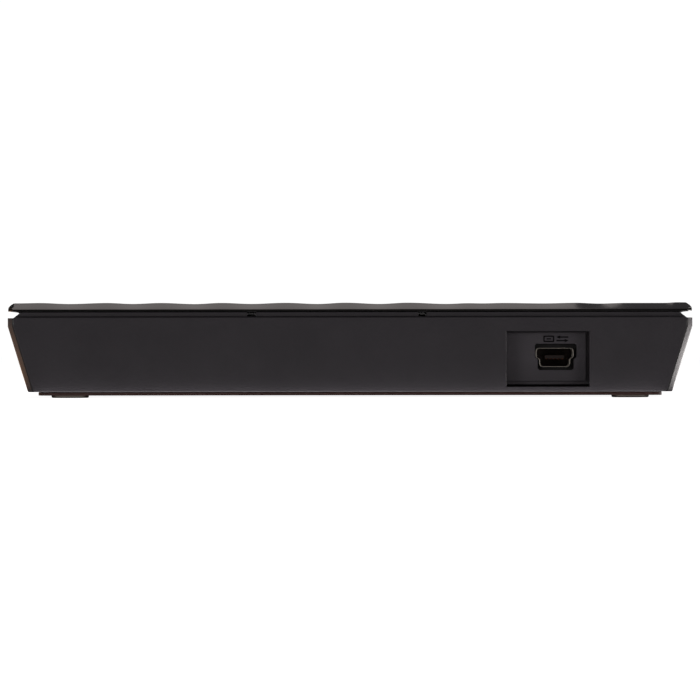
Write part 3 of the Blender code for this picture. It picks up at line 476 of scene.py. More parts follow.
def soften(obj, width, angle=30.0):
    """Rounded edges, so that corners catch the light."""
    weld = obj.modifiers.new("weld", "WELD")
    weld.merge_threshold = 0.000002
    bevel = obj.modifiers.new("edges", "BEVEL")
    bevel.width = width * MM
    bevel.segments = 2
    bevel.limit_method = "ANGLE"
    bevel.angle_limit = math.radians(angle)
    bevel.harden_normals = False
    bevel.use_clamp_overlap = True
    obj.data.shade_smooth()
    normals = obj.modifiers.new("smooth", "WEIGHTED_NORMAL")
    normals.keep_sharp = True
    return obj


def place(obj, body, slot, *nodes):
    """Puts a piece on a body, in place of the CAD nodes named; the slot argument is not used."""
    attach(obj, body)
    if nodes:
        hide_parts(*nodes)
    return obj


def carry(node, material, width=0.0):
    """A CAD node that stays, with a finished material and softened edges."""
    obj = NODES[node]
    obj.data.materials.clear()
    obj.data.materials.append(material)
    if width:
        soften(obj, width)
    return obj


def smooth(obj, angle):
    """Smooth shading, broken where the surface turns by more than an angle."""
    obj.data.shade_smooth()
    obj.data.set_sharp_from_angle(angle=math.radians(angle))


def ring(z, half, front, rear, corner):
    """A rectangle with cut corners at height z, in millimetres."""
    return [
        (-half + corner, front, z),
        (half - corner, front, z),
        (half, front + corner, z),
        (half, rear - corner, z),
        (half - corner, rear, z),
        (-half + corner, rear, z),
        (-half, rear - corner, z),
        (-half, front + corner, z),
    ]


def soft_ring(z, half, front, rear, corner, fillet=0.32, steps=5):
    """The same rectangle with each of its eight corners eased."""
    points = [Vector(p) for p in ring(z, half, front, rear, corner)]
    count = len(points)
    made = []
    for i, point in enumerate(points):
        before, after = points[i - 1] - point, points[(i + 1) % count] - point
        reach = min(fillet, 0.45 * before.length, 0.45 * after.length)
        start, end = point + before.normalized() * reach, point + after.normalized() * reach
        for k in range(steps + 1):
            t = k / steps
            made.append(tuple(start * (1 - t) ** 2 + point * 2 * t * (1 - t) + end * t**2))
    return made


def rounded(half_x, half_z, radius, steps=6):
    """A rectangle round the origin with rounded corners."""
    points = []
    for turn, (sx, sz) in enumerate([(1, 1), (-1, 1), (-1, -1), (1, -1)]):
        for i in range(steps + 1):
            angle = math.pi / 2 * (turn + i / steps)
            points.append(
                (
                    sx * (half_x - radius) + radius * math.cos(angle),
                    sz * (half_z - radius) + radius * math.sin(angle),
                )
            )
    return points


# ---- the shells -----------------------------------------------------------------------------
def base_walls():
    """The tub: flared walls with cut corners, a ledge, and the collar at the back of the groove."""
    body = loft(
        "base_shell",
        [
            soft_ring(UNDERSIDE, HALF_LOW - 0.18, F + 0.12, R - 0.12, CORNER),
            soft_ring(WALL_LOW, HALF_LOW, F, R, CORNER),
            soft_ring(WALL_BEND, W, F, R, CORNER),
            soft_ring(LEDGE, W, F, R, CORNER),
            soft_ring(LEDGE, W - 0.95, F + 1.2, R - 2.1, CORNER / 2),
            soft_ring(16.42, W - 1.4, F + 1.6, R - 2.1, 0.4),
            soft_ring(16.48, W - 1.5, F + 1.7, R - 1.25, 0.3),
            soft_ring(16.8, W - 1.95, F + 1.8, R - 1.25, 0.3),
            soft_ring(17.05, W - 2.25, F + 1.9, R - 1.23, 0.3),
            soft_ring(17.28, W - 2.3, F + 2.0, R - 1.2, 0.3),
        ],
    )
    cavity = loft(
        "base_cavity",
        [
            ring(2.3, 63.9, F - 2, R - 2.4, 0.4),
            ring(14, 66.6, F - 2, R - 2.4, 0.4),
            ring(18, 66.6, F - 2, R - 2.4, 0.4),
        ],
    )
    return boolean(body, [cavity, base_window()])


def base_window():
    """The cutter for the port's window, with its floor sloped inwards and one side flared at the face."""
    x0, z0, x1, z1 = WINDOW
    inner_z, flare = 2.31, 1.22
    frames = [
        (R - 3.4, x1, inner_z),
        (R - 2.0, x1, inner_z),
        (R - 0.22, x1, z0),
        (R + 1, x1 + flare, z0),
    ]
    rings = [[(x0, y, low), (side, y, low), (side, y, z1), (x0, y, z1)] for y, side, low in frames]
    return loft("base_window", rings)


def base_shell():
    """The tub with its bosses and ribs, the screws' bores and the two hook windows."""
    body = base_walls()
    bosses = []
    bores = []
    for side in (-1, 1):
        bosses.append(disc("boss", (side * FOOT_AT[0], FOOT_AT[1]), 3.4, 2, 4))
        bores.append(disc("bore", (side * FOOT_AT[0], FOOT_AT[1]), 2.1, 1, 2.5))
        bores.append(disc("bore", (side * FOOT_AT[0], FOOT_AT[1]), 1.2, 2, 5))
    pan_posts = [(4, 61, 2.4, 1.15, 4.7), (46, 61, 2.4, 1.15, 4.7)]
    board_posts = [(-50, 62, 2, 1, 4.75), (-6.5, 62, 2, 1, 4.75)]
    for x, y, radius, hole, top in pan_posts + board_posts:
        bosses.append(disc("boss", (x, y), radius, 2, top))
        bores.append(disc("bore", (x, y), hole, 2.6, 5))
    for x in (-40, -20, 20, 40):
        bosses.append(box("rib", (x - 0.4, -66, 2.2), (x + 0.4, 57.5, 2.45)))
    for x, half in HOOK_WINDOWS:
        bores.append(box("hook_window", (x - half, R - 4, 16.45), (x + half, R + 1, 17.4)))
    boolean(body, bosses, "UNION")
    boolean(body, bores)
    body.data.materials.append(CASE_BLACK)
    soften(body, 0.14)
    return place(body, "case", "case_plastic", "lower_case")


# Crests and dips across the cover, as places and heights over its mean top, in millimetres.
RIPPLES = [
    (67.0, 0.03),
    (62.5, 0.09),
    (56.6, -0.115),
    (49.0, 0.08),
    (43.9, -0.12),
    (38.1, 0.07),
    (31.3, -0.16),
    (26.0, 0.065),
    (19.8, -0.14),
    (13.1, 0.072),
    (6.5, -0.163),
    (1.0, 0.082),
    (-6.0, -0.17),
    (-11.6, 0.07),
    (-19.5, -0.185),
    (-23.9, -0.045),
    (-26.6, -0.09),
    (-31.0, -0.012),
    (-39.0, -0.11),
    (-45.5, 0.002),
    (-50.3, -0.155),
    (-55.6, -0.035),
    (-63.2, -0.038),
    (-66.0, 0.09),
    (-67.6, 0.08),
]


def ripple(x):
    """Height of the ripples at x over the cover's mean top, eased between crests and dips."""
    for (x0, z0), (x1, z1) in zip(RIPPLES, RIPPLES[1:]):
        if x1 <= x <= x0:
            return z1 + (z0 - z1) * (1 - math.cos(math.pi * (x - x1) / (x0 - x1))) / 2
    return RIPPLES[0][1]


# Down the rim: distance in from the case's widest line and height, at the front and rear and then
# at the sides, with the width that the corner is cut by.
RIM = [
    (1.6, 18.99, 1.1, 19.07, 0.02),
    (1.2, 18.66, 0.6, 18.72, 0.2),
    (0.42, 18.1, 0.23, 18.3, 0.62),
    (0.26, 17.95, 0.17, 18.15, 0.85),
    (0.16, 17.87, 0.14, 18.0, 0.95),
    (0.12, 17.77, 0.12, 17.84, 1.0),
    (0.12, 17.54, 0.1, 17.51, 1.0),
    (0.18, 17.47, 0.16, 17.47, 1.0),
]
RIPPLE_FADES = 17.78, 1.3


def cover_grid(bm):
    """The rippled top of the cover, as rows of points from the front to the rear."""
    first = COVER_EDGE - 0.4
    count = round(2 * first / 0.8)
    inner = [-first + 2 * first * i / count for i in range(count + 1)]
    xs = [-COVER_EDGE, -COVER_EDGE + 0.15] + inner + [COVER_EDGE - 0.15, COVER_EDGE]
    ys = [-COVER_END, -COVER_END + 0.15, -COVER_END + 0.6, -48, -24, 0, 24, 48]
    ys += [COVER_END - 0.6, COVER_END - 0.15, COVER_END]
    grid = [[bm.verts.new(Vector((x, y, COVER_MEAN + ripple(x))) * MM) for x in xs] for y in ys]
    for low, high in zip(grid, grid[1:]):
        for i in range(len(xs) - 1):
            bm.faces.new((low[i], low[i + 1], high[i + 1], high[i]))
    return grid


def rim_point(vertex, part, level):
    """Where a point of the cover's edge comes to at one level of the rim."""
    rear_in, rear_z, side_in, side_z, cut = level
    x, y, z = vertex.co / MM
    corner = abs(abs(x) - COVER_EDGE) < 1e-4 and abs(abs(y) - COVER_END) < 1e-4
    half, reach = W - side_in, R - rear_in
    if part == "side":
        return math.copysign(half, x), math.copysign(reach - cut, y) if corner else y, side_z
    fades_at, fades_over = RIPPLE_FADES
    share = max(0.0, (rear_z - fades_at) / fades_over)
    at_x = math.copysign(half - cut, x) if corner else x
    return at_x, math.copysign(reach, y), rear_z + share * (z - COVER_MEAN)


def cover_slab():
    """The rippled top with its bevelled rim, whose corners are cut, and a flat underside."""
    bm = bmesh.new()
    grid = cover_grid(bm)
    front_row, rear_row = grid[0], list(reversed(grid[-1]))
    right_column = [row[-1] for row in grid[1:-1]]
    left_column = [row[0] for row in reversed(grid[1:-1])]
    # Each corner stands twice: once as the end of a side, once as the end of the front or rear.
    rim = [(v, "end") for v in front_row] + [(front_row[-1], "side")]
    rim += [(v, "side") for v in right_column] + [(rear_row[0], "side")]
    rim += [(v, "end") for v in rear_row] + [(rear_row[-1], "side")]
    rim += [(v, "side") for v in left_column] + [(front_row[0], "side")]
    rings = [[v for v, _ in rim]]
    for level in RIM:
        rings.append([bm.verts.new(Vector(rim_point(v, part, level)) * MM) for v, part in rim])
    for inner, outer in zip(rings, rings[1:]):
        for i in range(len(rim)):
            j = (i + 1) % len(rim)
            bm.faces.new(list(dict.fromkeys((inner[i], inner[j], outer[j], outer[i]))))
    bm.faces.new(rings[-1])
    return from_bmesh("cover_shell", bm)


def cover_shell():
    """The lid of the case: the slab, the skirt behind the groove, screw bosses, ribs and hook slots."""
    body = cover_slab()
    skirt_levels = ((14.5, 66.3, 2.7), (17.0, 66.3, 2.7), (17.46, 67.7, 2.5), (17.6, 67.7, 2.5))
    skirt = loft("cover_skirt", [ring(z, half, F + inset, R - inset, 0.8) for z, half, inset in skirt_levels])
    hollow = loft("cover_hollow", [ring(z, 65.3, F + 3.7, R - 3.7, 0.4) for z in (13.5, 17.52)])
    notch = box("cover_notch", (-W - 5, F - 3, 13.5), (W + 5, F + 6, 16.3))
    boolean(body, [skirt], "UNION")
    boolean(body, [hollow, notch])
    bosses = [disc("boss", (side * FOOT_AT[0], FOOT_AT[1]), 2.8, 4.4, 17.8) for side in (-1, 1)]
    for x in range(-52, 60, 13):
        bosses.append(box("rib", (x - 0.4, -60, 17.1), (x + 0.4, 66, 17.65)))
    boolean(body, bosses, "UNION")
    bores = [disc("bore", (side * FOOT_AT[0], FOOT_AT[1]), 1.15, 4, 12) for side in (-1, 1)]
    for x, half in HOOK_WINDOWS:
        bores.append(box("hook_slot", (x - half, R - 4.7, 16.45), (x + half, R - 1.7, 17.22)))
    boolean(body, bores)
    body.data.materials.append(COVER_PLASTIC)
    smooth(body, 28)
    return place(body, "case", "cover_plastic", "top_cover")


def port_hole_outline(grow):
    """The cut-out round the socket, which steps in at the foot, widened by an amount."""
    half = [(3.3, -2.75), (3.65, -2.4), (3.65, -0.55), (4.22, -0.1), (4.22, 2.25), (3.92, 2.58)]
    half = [(x + grow, z + math.copysign(grow, z)) for x, z in half]
    return half + [(-x, z) for x, z in reversed(half)]


def port_plate():
    """The insert round the socket: a raised pad on a thin flange."""
    pad = box("port_plate_look", (-47.55, R - 3.6, 3.36), (-29.5, R - 2.7, 13.18))
    flange = box("flange", (-49.3, R - 3.78, 2.66), (-29.4, R - 3.4, 14.25))
    boolean(pad, [flange], "UNION")
    hole = prism("hole", port_hole_outline(0), R - 6, R, at=PORT_HOLE)
    boolean(pad, [hole])
    # Painted lighter than the case, to offset the shade of the recess.
    pad.data.materials.append(PORT_PLASTIC_PAINTED_LIGHT)
    soften(pad, 0.12)
    place(pad, "case", "case_plastic", "port_plate")


def pictogram():
    """A generic mark above the socket: a receptacle's outline beside two opposed arrows."""
    x, z, face = -40.1, 11.85, R - 2.75
    outer = rounded(1.1, 0.66, 0.25, 3)
    inner = rounded(0.84, 0.4, 0.1, 3)
    frame_mark = prism("frame_mark", outer, face, face + 0.1, at=(x, z))
    boolean(frame_mark, [prism("frame_hole", inner, face - 1, face + 1, at=(x, z))])
    marks = [frame_mark, box("tongue_mark", (x - 0.45, face, z - 0.12), (x + 0.45, face + 0.1, z + 0.12))]
    for lift, turn in ((0.36, 1), (-0.36, -1)):
        half = [(-1.2, -0.13), (0.45, -0.13), (0.45, -0.33), (1.25, 0)]
        arrow = half + [(px, -pz) for px, pz in half[2::-1]]
        arrow = [(turn * px, turn * pz) for px, pz in arrow]
        marks.append(prism("arrow_mark", arrow, face, face + 0.1, at=(x - 2.75, z + lift)))
    mark = join("port_mark", marks, MARK_BLACK)
    place(mark, "case", "case_plastic")


def bottom_plate():
    """The thin plate under the case: sloped edge, foot holes, label recess and air slots."""
    edge = [(0.51, 62.88, 69.66), (0.56, 62.96, 69.76), (1.04, 63.0, 69.78), (1.19, 62.9, 69.6)]
    rings = [[(x, y, z) for x, y in rounded(half, rear, 2.0, 5)] for z, half, rear in edge]
    plate = loft("bottom_plate_look", rings)
    corners = [(sx * FOOT_AT[0], sy * FOOT_AT[1]) for sx in (-1, 1) for sy in (-1, 1)]
    cutters = [disc("foot_hole", at, 4.1, 0, 2) for at in corners]
    recess = [[(x, y + 4, z) for x, y in rounded(33, 21, 2, 5)] for z in (0.2, 0.63)]
    cutters.append(loft("label_recess", recess))
    for row in range(5):
        for column in range(6):
            x, y = -12.5 + 5 * column, 40 + 3.2 * row
            slot = [[(x + px, y + py, z) for px, py in rounded(1.9, 0.5, 0.45, 5)] for z in (0, 2)]
            cutters.append(loft("air_slot", slot))
    boolean(plate, cutters)
    plate.data.materials.append(PLATE_PLASTIC)
    soften(plate, 0.03)
    place(plate, "case", "plate_plastic", "bottom_plate")


def feet():
    """Low rubber feet with a turned-in rim and a dished middle."""
    profile = [
        (0, 0.22),
        (1.6, 0.2),
        (2.5, 0.16),
        (2.75, 0.03),
        (2.9, 0.0),
        (3.5, 0.0),
        (3.7, 0.06),
        (3.8, 0.2),
        (3.8, 0.97),
        (3.7, 1.1),
        (0, 1.1),
    ]
    for sx, side in ((-1, "left"), (1, "right")):
        for sy, end in ((-1, "front"), (1, "rear")):
            node = f"foot_{end}_{side}"
            foot = lathe(node + "_look", profile, (sx * FOOT_AT[0], sy * FOOT_AT[1]), FOOT_RUBBER)
            smooth(foot, 40)
            place(foot, "case", "foot_rubber", node)


# The right half of the receptacle's front view, from its foot to its top.
SOCKET_HALF = [
    (2.35, -1.95),
    (2.75, -1.86),
    (3.0, -1.62),
    (3.12, -1.2),
    (3.15, -0.5),
    (3.28, -0.28),
    (3.72, 0.02),
    (3.84, 0.25),
    (3.85, 1.2),
    (3.76, 1.62),
    (3.52, 1.87),
    (3.15, 1.95),
]


def socket_outline(inset):
    """The receptacle's front view, drawn in by an inset."""
    half = []
    for x, z in SOCKET_HALF:
        length = math.hypot(x - 1.2, z)
        half.append((x - inset * (x - 1.2) / length, z - inset * z / length))
    return half + [(-x, z) for x, z in reversed(half)]


MOUTH, BACK = R - 2.6, R - 11.4


def socket_shell():
    """The bent metal shell with two spring slots, and the tabs that hold it to the board."""
    x, _ = SOCKET
    shell = prism("usb_shell_look", socket_outline(0.05), BACK, MOUTH, at=SOCKET)
    bore = prism("bore", socket_outline(0.18), BACK - 1, MOUTH + 1, at=SOCKET)
    slots = [
        box("slot", (x + side - 0.5, BACK + 3.6, 9), (x + side + 0.5, BACK + 6.4, 11.2))
        for side in (-1.7, 1.7)
    ]
    boolean(shell, [bore])
    boolean(shell, slots)
    shell.data.materials.append(NICKEL)
    soften(shell, 0.05, angle=35)
    tabs = [
        box("tab", (x + side - 0.12, BACK + y, 5.2), (x + side + 0.12, BACK + y + 0.7, 7.4))
        for side in (-3.2, 3.2)
        for y in (1.2, 5.2)
    ]
    ears = join("usb_shell_tabs", tabs, NICKEL)
    soften(ears, 0.05)
    place(ears, "case", "bright_steel")
    place(shell, "case", "bright_steel", "usb_socket_shell")


def socket_shade_sheet():
    """A near-black foam sheet behind the port plate that closes the space round the shell: painted shade for
    the gap round the socket.
    """
    shade_piece = prism("socket_shade_sheet", port_hole_outline(0.35), R - 4.6, R - 3.82, at=PORT_HOLE)
    boolean(shade_piece, [prism("shade_sheet_hole", socket_outline(-0.06), R - 6, R, at=SOCKET)])
    shade_piece.data.materials.append(SHADE_FOAM)
    place(shade_piece, "case", "soft_rubber")


def socket_insulator():
    """The insulator with its tongue, and the five contacts under the tongue."""
    x, z = SOCKET
    insulator = prism("usb_insulator_look", socket_outline(0.26), BACK + 0.1, BACK + 2.2, at=SOCKET)
    tongue = box("tongue", (x - 1.95, BACK + 2.0, z - 0.25), (x + 1.95, MOUTH - 1.3, z + 0.45))
    boolean(insulator, [tongue], "UNION")
    insulator.data.materials.append(SOCKET_BLACK)
    soften(insulator, 0.06)
    place(insulator, "case", "connector_plastic", "usb_socket_insulator")
    contacts = [
        box("contact", (x + u - 0.17, BACK + 2.1, z - 0.34), (x + u + 0.17, MOUTH - 1.6, z - 0.24))
        for u in (-1.6, -0.8, 0, 0.8, 1.6)
    ]
    strips = join("usb_contacts", contacts, GOLD)
    place(strips, "case", "bright_steel")


# ---- the front, the tray and the mechanism ---------------------------------------------------
def in_pickup(obj, turn=0.0):
    """Moves a mesh drawn about the spindle's axis, with its travel along X, to its place in the tray."""
    spin = Matrix.Rotation(PICKUP_ANGLE + turn, 4, "Z")
    obj.data.transform(Matrix.Translation((0, DISC_Y * MM, 0)) @ spin)
    return obj


def bezel():
    """The tray's front: a chamfered face with a fine groove, and holes for the button, light and pin."""
    outline = [(-63.6, 2.65), (63.6, 2.65), (66.25, 14), (66.25, 16), (-66.25, 16), (-66.25, 14)]
    inset = [(-63.25, 3.0), (63.25, 3.0), (65.9, 14), (65.9, 15.65), (-65.9, 15.65), (-65.9, 14)]
    shapes = ((F + 2.5, outline), (F + 0.75, outline), (F + 0.4, inset))
    rings = [[(x, y, z) for x, z in shape] for y, shape in shapes]
    front = loft("bezel_look", rings)
    button = rounded(BUTTON[0] + 0.15, BUTTON[1] + 0.15, BUTTON[1] + 0.14, 8)
    cutters = [
        prism("button_hole", button, F - 1, F + 4, at=(BUTTON_X, BUTTON_Z)),
        box("lens_hole", (LENS_X - 1.5, F - 1, BUTTON_Z - 0.6), (LENS_X + 1.5, F + 4, BUTTON_Z + 0.6)),
        prism("pin_hole", rounded(0.6, 0.6, 0.59), F - 1, F + 4, at=(PIN_X, BUTTON_Z)),
        prism("pin_cone", rounded(1.0, 1.0, 0.99), F - 1, F + 0.55, at=(PIN_X, BUTTON_Z)),
        box("line", (-62.5, F - 1, 13.1), (62.5, F + 0.58, 13.38)),
    ]
    boolean(front, cutters)
    front.data.materials.append(BASE_PLASTIC)
    soften(front, 0.09)
    place(front, "tray", "case_plastic", "tray_bezel")


def tray_details():
    """Grip pads under the disc's edge, and the screws and stiffening beads of the pickup's cover."""
    pads = []
    for degrees in (38, 142, 218, 266):
        outline = []
        for radius, sweep in ((57.4, (-7, 7)), (59.6, (7, -7))):
            for k in range(9):
                angle = math.radians(degrees + sweep[0] + (sweep[1] - sweep[0]) * k / 8)
                outline.append((radius * math.cos(angle), DISC_Y + radius * math.sin(angle)))
        pads.append(loft("pad", [[(x, y, z) for x, y in outline] for z in (10.93, 11.16)]))
    grips = join("tray_grips", pads, PAD_RUBBER)
    soften(grips, 0.06)
    place(grips, "tray", "soft_rubber")
    for k, (u, v) in enumerate(((62.0, 11.6), (62.0, -11.6), (-12.6, 12.6), (-12.6, -12.6))):
        head = lathe(
            f"cover_screw_{k + 1}",
            [(0, 10.07), (1.45, 10.07), (1.5, 10.15), (1.4, 10.38), (1.0, 10.55), (0, 10.6)],
            (u, v),
            SCREW_BLACK,
            28,
        )
        cross = [
            box("cross", (u - 0.85, v - 0.14, 10.34), (u + 0.85, v + 0.14, 11)),
            box("cross", (u - 0.14, v - 0.85, 10.34), (u + 0.14, v + 0.85, 11)),
        ]
        boolean(head, cross)
        in_pickup(head)
        smooth(head, 35)
        place(head, "tray", "screw_steel")
    beads = []
    for side in (-1, 1):
        rings = []
        for z, inset in ((10.06, 0), (10.14, 0), (10.24, 0.2)):
            outline = rounded(20 - inset, 0.9 - inset, 0.85 - inset, 5)
            rings.append([(x + 36, y + side * 11.2, z) for x, y in outline])
        beads.append(loft("bead", rings))
    stiffeners = in_pickup(join("cover_beads", beads, STEEL))
    smooth(stiffeners, 40)
    place(stiffeners, "tray", "sheet_steel")


def hub():
    """The turntable with its ridged seat, the hub with three sprung claws."""
    profile = [
        (0, 12.45), (0.9, 12.45), (1.1, 12.72), (2.1, 12.78), (2.3, 13.12), (2.55, 13.27), (4.3, 13.3),
        (4.45, 13.16), (4.75, 13.16), (4.9, 13.3), (6.0, 13.28), (6.7, 13.05), (7.25, 12.62), (7.4, 12.4),
        (7.4, 11.35), (7.55, 11.2), (14.3, 11.2), (14.5, 11.0), (14.5, 10.1), (14.3, 9.9), (8, 9.9), (8, 9.0),
        (12.2, 9.0), (12.4, 8.8), (12.4, 6.0), (12.3, 5.9), (11.7, 5.9), (11.6, 6.0), (11.6, 8.2), (1.5, 8.2),
        (1.5, 5.4), (1.4, 5.3), (0, 5.3),
    ]
    rotor = lathe("turntable", profile, steps=96)
    turns = [math.tau * k / 3 + math.pi / 3 for k in range(3)]
    slots = []
    for turn in turns:
        slot = box("claw_slot", (3.6, -1.1, 11.65), (9, 1.1, 12.85))
        slot.data.transform(Matrix.Rotation(turn, 4, "Z"))
        slots.append(slot)
    boolean(rotor, slots)
    rotor.data.materials.append(ROTOR)
    smooth(rotor, 25)
    place(in_pickup(rotor), "spindle", "die_cast", "spindle_rotor")
    ridges = [(9.5, 11.3), (9.5, 11.52), (9.6, 11.6)]
    for radius in (10.7, 11.8, 12.9):
        ridges += [(radius - 0.1, 11.6), (radius, 11.48), (radius + 0.2, 11.48), (radius + 0.3, 11.6)]
    ridges += [(13.9, 11.6), (14.0, 11.52), (14.0, 11.3)]
    pad = lathe("disc_pad_look", ridges, material=PAD_RUBBER, steps=96)
    smooth(pad, 30)
    place(in_pickup(pad), "spindle", "soft_rubber", "disc_pad")
    nose = [
        (4.6, 12.02), (4.7, 11.95), (7.2, 11.95), (7.8, 12.16),
        (7.85, 12.3), (7.5, 12.55), (4.7, 12.55), (4.6, 12.48),
    ]
    for k, turn in enumerate(turns):
        claw = prism(f"claw_look_{k + 1}", nose, -0.8, 0.8, ACETAL)
        soften(in_pickup(claw, turn), 0.06)
        place(claw, f"claw_{k + 1}", "acetal", f"hub_claw_{k + 1}")


def pickup_details():
    """Magnets on the sled, coils and a bumper ring on the lens holder."""
    magnets = [
        box("magnet", (19.6, side * 6.4 - 0.6, 8.06), (26.4, side * 6.4 + 0.6, 9.26)) for side in (-1, 1)
    ]
    pair = in_pickup(join("focus_magnets", magnets, BRIGHT))
    soften(pair, 0.1)
    place(pair, "sled", "bright_steel")
    coils = []
    for side in (-1, 1):
        for u in (20.7, 23.1):
            coil = box("coil", (u, side * 5.4 - 0.13, 8.8), (u + 2.2, side * 5.4 + 0.13, 9.9))
            hole = box("coil_hole", (u + 0.55, side * 5.4 - 1, 9.15), (u + 1.65, side * 5.4 + 1, 9.55))
            coils.append(boolean(coil, [hole]))
    winding = in_pickup(join("focus_coils", coils, COPPER))
    soften(winding, 0.05)
    place(winding, "lens", "bright_steel")
    bumper = lathe(
        "lens_bumper",
        [(2.5, 10.13), (2.5, 10.3), (2.62, 10.4), (2.85, 10.4), (3.0, 10.3), (3.0, 10.13)],
        (23, 0),
        PAD_RUBBER,
        40,
    )
    bumper.data.shade_smooth()
    place(in_pickup(bumper), "lens", "soft_rubber")


def board_parts(name, material, slot, base, parts):
    """Small components on a board, as one piece: each is x, y, width, depth and height in millimetres."""
    blocks = [
        box("part", (x - w / 2, y - d / 2, base), (x + w / 2, y + d / 2, base + h)) for x, y, w, d, h in parts
    ]
    piece = join(name, blocks, material)
    soften(piece, 0.06)
    return place(piece, "case", slot)


def electronics():
    """Capacitors, resistors and crystals on both boards."""
    rows = [(x, y, 1.0, 0.5, 0.5) for x in (-12, -9.5, 13, 15.5, 18) for y in (30.5, 35, 41, 46.5)]
    rows += [(x, 51.5, 0.5, 1.0, 0.5) for x in (-4, -1, 2, 5, 8, 20, 23, 26, 29)]
    chips = [(x, 28, 2.6, 1.6, 0.8) for x in (-4, 4, 20, 28, 38)] + [(40, 46, 4.4, 5.0, 1.0)]
    crystals = [(17, 52, 5.0, 2.4, 0.9), (42, 32, 3.2, 2.5, 0.8)]
    board_parts("drive_board_capacitors", CERAMIC, "chip_epoxy", DRIVE_BOARD_TOP, rows)
    board_parts("drive_board_parts", EPOXY, "chip_epoxy", DRIVE_BOARD_TOP, chips)
    board_parts("drive_board_crystal", BRIGHT, "bright_steel", DRIVE_BOARD_TOP, crystals)
    small = [(x, 65.2, 1.0, 0.5, 0.45) for x in (-33, -31, -29)]
    small += [(x, 62.2, 0.5, 1.0, 0.45) for x in (-18.5, -17, -15.5, -14)]
    board_parts("bridge_board_capacitors", CERAMIC, "chip_epoxy", BRIDGE_BOARD_TOP, small)
    crystal = [(-14.5, 65, 3.2, 1.6, 0.75)]
    board_parts("bridge_board_crystal", BRIGHT, "bright_steel", BRIDGE_BOARD_TOP, crystal)


def label():
    """A blank label in the recess of the bottom plate."""
    rings = [[(x, y + 4, z) for x, y in rounded(32.4, 20.4, 1.8, 5)] for z in (0.54, 0.6)]
    sheet = loft("label_look", rings, LABEL)
    place(sheet, "case", "plate_plastic")


# ---- stage ----------------------------------------------------------------------------------
WHITE = (1.0, 1.0, 1.0)
EYE_DISTANCE, EYE_HEIGHT = 1.0, 9.65 * MM
VIEW_WIDTH = 0.14088


def backdrop():
    """A white surround that lights the object only dimly, over a pale floor."""
    world = bpy.data.worlds.new("studio")
    bpy.context.scene.world = world
    world.use_nodes = True
    tree = world.node_tree
    dim = tree.nodes["Background"]
    dim.inputs["Color"].default_value = (0.94, 0.96, 1.0, 1)
    dim.inputs["Strength"].default_value = 0.085
    white = tree.nodes.new("ShaderNodeBackground")
    white.inputs["Color"].default_value = (1, 1, 1, 1)
    white.inputs["Strength"].default_value = 1.05
    seen = tree.nodes.new("ShaderNodeLightPath")
    either = tree.nodes.new("ShaderNodeMixShader")
    tree.links.new(seen.outputs["Is Camera Ray"], either.inputs[0])
    tree.links.new(dim.outputs[0], either.inputs[1])
    tree.links.new(white.outputs[0], either.inputs[2])
    tree.links.new(either.outputs[0], tree.nodes["World Output"].inputs["Surface"])

    shade = Shader("pale_floor", roughness=0.9)
    greys = [(0.3, (0.84, 0.84, 0.84)), (0.7, (0.86, 0.86, 0.86))]
    shade.link(shade.ramp(shade.noise(3, 2), greys), "Base Color")
    shade.bsdf.inputs["Emission Color"].default_value = (1, 1, 1, 1)
    path = shade.tree.nodes.new("ShaderNodeLightPath")
    glow = shade.spread(path.outputs["Is Camera Ray"], 0.04, 0.93, 0, 1)
    shade.link(glow, "Emission Strength")
    bm = bmesh.new()
    bmesh.ops.create_grid(bm, x_segments=1, y_segments=1, size=6)
    from_bmesh("floor", bm, shade.material, (0, 0, -0.00002))


def camera():
    """A long lens straight behind the object, a hair off level."""
    lens = bpy.data.cameras.new("camera")
    lens.sensor_width = 36
    lens.lens = lens.sensor_width * EYE_DISTANCE / VIEW_WIDTH
    lens.clip_start = 0.01
    eye = bpy.data.objects.new("camera", lens)
    bpy.context.scene.collection.objects.link(eye)
    eye.location = (0.02 * MM, REAR + EYE_DISTANCE, EYE_HEIGHT)
    roll = Matrix.Rotation(math.radians(-0.07), 4, "Y")
    level = Matrix.Rotation(math.pi, 4, "Z") @ Matrix.Rotation(math.pi / 2, 4, "X")
    eye.rotation_euler = (roll @ level).to_euler()
    bpy.context.scene.camera = eye


def area(name, at, target, size, power, colour=WHITE):
    """A rectangular soft light in metres and watts, aimed at a point."""
    light = bpy.data.lights.new(name, "AREA")
    light.shape = "RECTANGLE"
    light.size, light.size_y = size
    light.energy = power
    light.color = colour
    lamp = bpy.data.objects.new(name, light)
    bpy.context.scene.collection.objects.link(lamp)
    lamp.location = at
    lamp.rotation_euler = (Vector(target) - Vector(at)).to_track_quat("-Z", "Y").to_euler()
    return lamp


def floor_card(name, x, y, size, power, colour=WHITE):
    """A low card on the floor beside the case, mirrored by its cut corners and lower edge."""
    area(name, (x, y, 0.2 * MM), (x, y, 1), size, power, colour).visible_camera = False


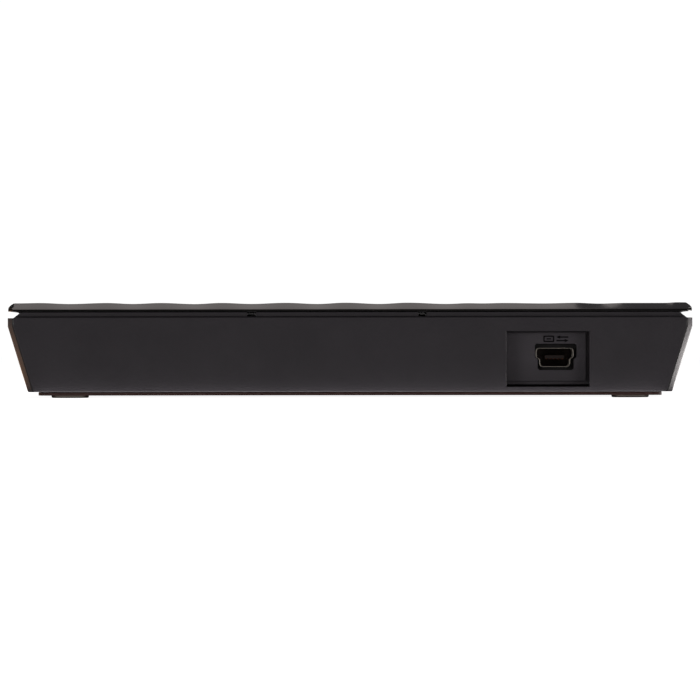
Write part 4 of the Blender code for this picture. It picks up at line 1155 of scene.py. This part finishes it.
def studio():
    """Two overhead panels for the cover's rim, softboxes for the rear wall, strips for the corners."""
    bpy.context.scene.view_settings.view_transform = "Standard"
    backdrop()
    camera()
    cool, warm, amber = (1.0, 0.93, 0.98), (1.0, 0.92, 0.90), (1.0, 0.55, 0.26)
    area("overhead", (0.055, -0.25, 0.8), (0.055, -0.25, 0), (0.28, 1.0), 1.7, warm)
    area("overhead_dim", (-0.335, -0.25, 0.8), (-0.335, -0.25, 0), (0.5, 1.0), 0.5, cool)
    sides = (
        ("right", -1, 3.95, (1.0, 0.96, 0.95), 0.060, (1.0, 0.96, 0.94)),
        ("left", 1, 0.6, amber, 0.011, (1.0, 0.46, 0.14)),
    )
    for side, x, power, colour, card_power, card_colour in sides:
        area(f"front_{side}", (x * 1.35, 1.2, 0.2), (0, 0.07, 0.01), (0.7, 0.36), 5.0)
        low = (x * 1.18, -0.378, 0.055)
        area(f"side_{side}", low, (x * 0.06, 0.07, 0.01), (1.5, 0.1), power, colour)
        floor_card(f"card_{side}", x * 0.097, 0.05, (0.05, 0.04), card_power, card_colour)
    floor_card("card_rear", 0, REAR + 0.85 * MM, (0.127, 0.0009), 0.00165)
    floor_card("card_under", 0, REAR - 5.6 * MM, (0.127, 0.0037), 0.0021, (1.0, 0.95, 0.9))


def carried():
    """CAD nodes whose shape is right, each with its finish and its softened edge in millimetres."""
    pressings = ["mechanism_pan", "mechanism_lid", "tray_under_plate", "traverse_cover"]
    dampers = ["damper_front", "damper_rear_left", "damper_rear_right"]
    finishes = [
        (BASE_PLASTIC, 0.12, ["eject_button"]),
        (TRAY_PLASTIC, 0.12, ["tray"]),
        (STEEL, 0.08, pressings + ["latch_lever", "eject_solenoid"]),
        (STEEL_DARK, 0.06, ["spindle_base"]),
        (RAIL_STEEL, 0.08, ["rail_left", "rail_right"]),
        (BRIGHT, 0.0, ["guide_rod_left", "guide_rod_right", "lead_screw"]),
        (SCREW_BLACK, 0.06, [node for node in NODES if "_screw_" in node]),
        (GREEN, 0.05, ["drive_board", "bridge_board"]),
        (EPOXY, 0.08, ["controller_chip", "motor_driver_chip", "bridge_chip"]),
        (CONNECTOR, 0.08, ["tray_flex_socket", "link_connector", "eject_switch", "lens_holder"]),
        (ACETAL, 0.1, ["rail_guide_left", "rail_guide_right"]),
        (PAD_RUBBER, 0.06, dampers),
        (CAST, 0.1, ["traverse_frame", "sled_motor", "pickup_sled"]),
        (LENS, 0.0, ["objective_lens"]),
        (LIGHT_PIPE, 0.05, ["activity_lens"]),
        (FILM, 0.0, ["board_flex", "tray_flex"]),
    ]
    for material, width, nodes in finishes:
        for node in nodes:
            carry(node, material, width)


carried()
base_shell()
cover_shell()
port_plate()
pictogram()
bottom_plate()
feet()
socket_shell()
socket_shade_sheet()
socket_insulator()
bezel()
tray_details()
hub()
pickup_details()
electronics()
label()
studio()
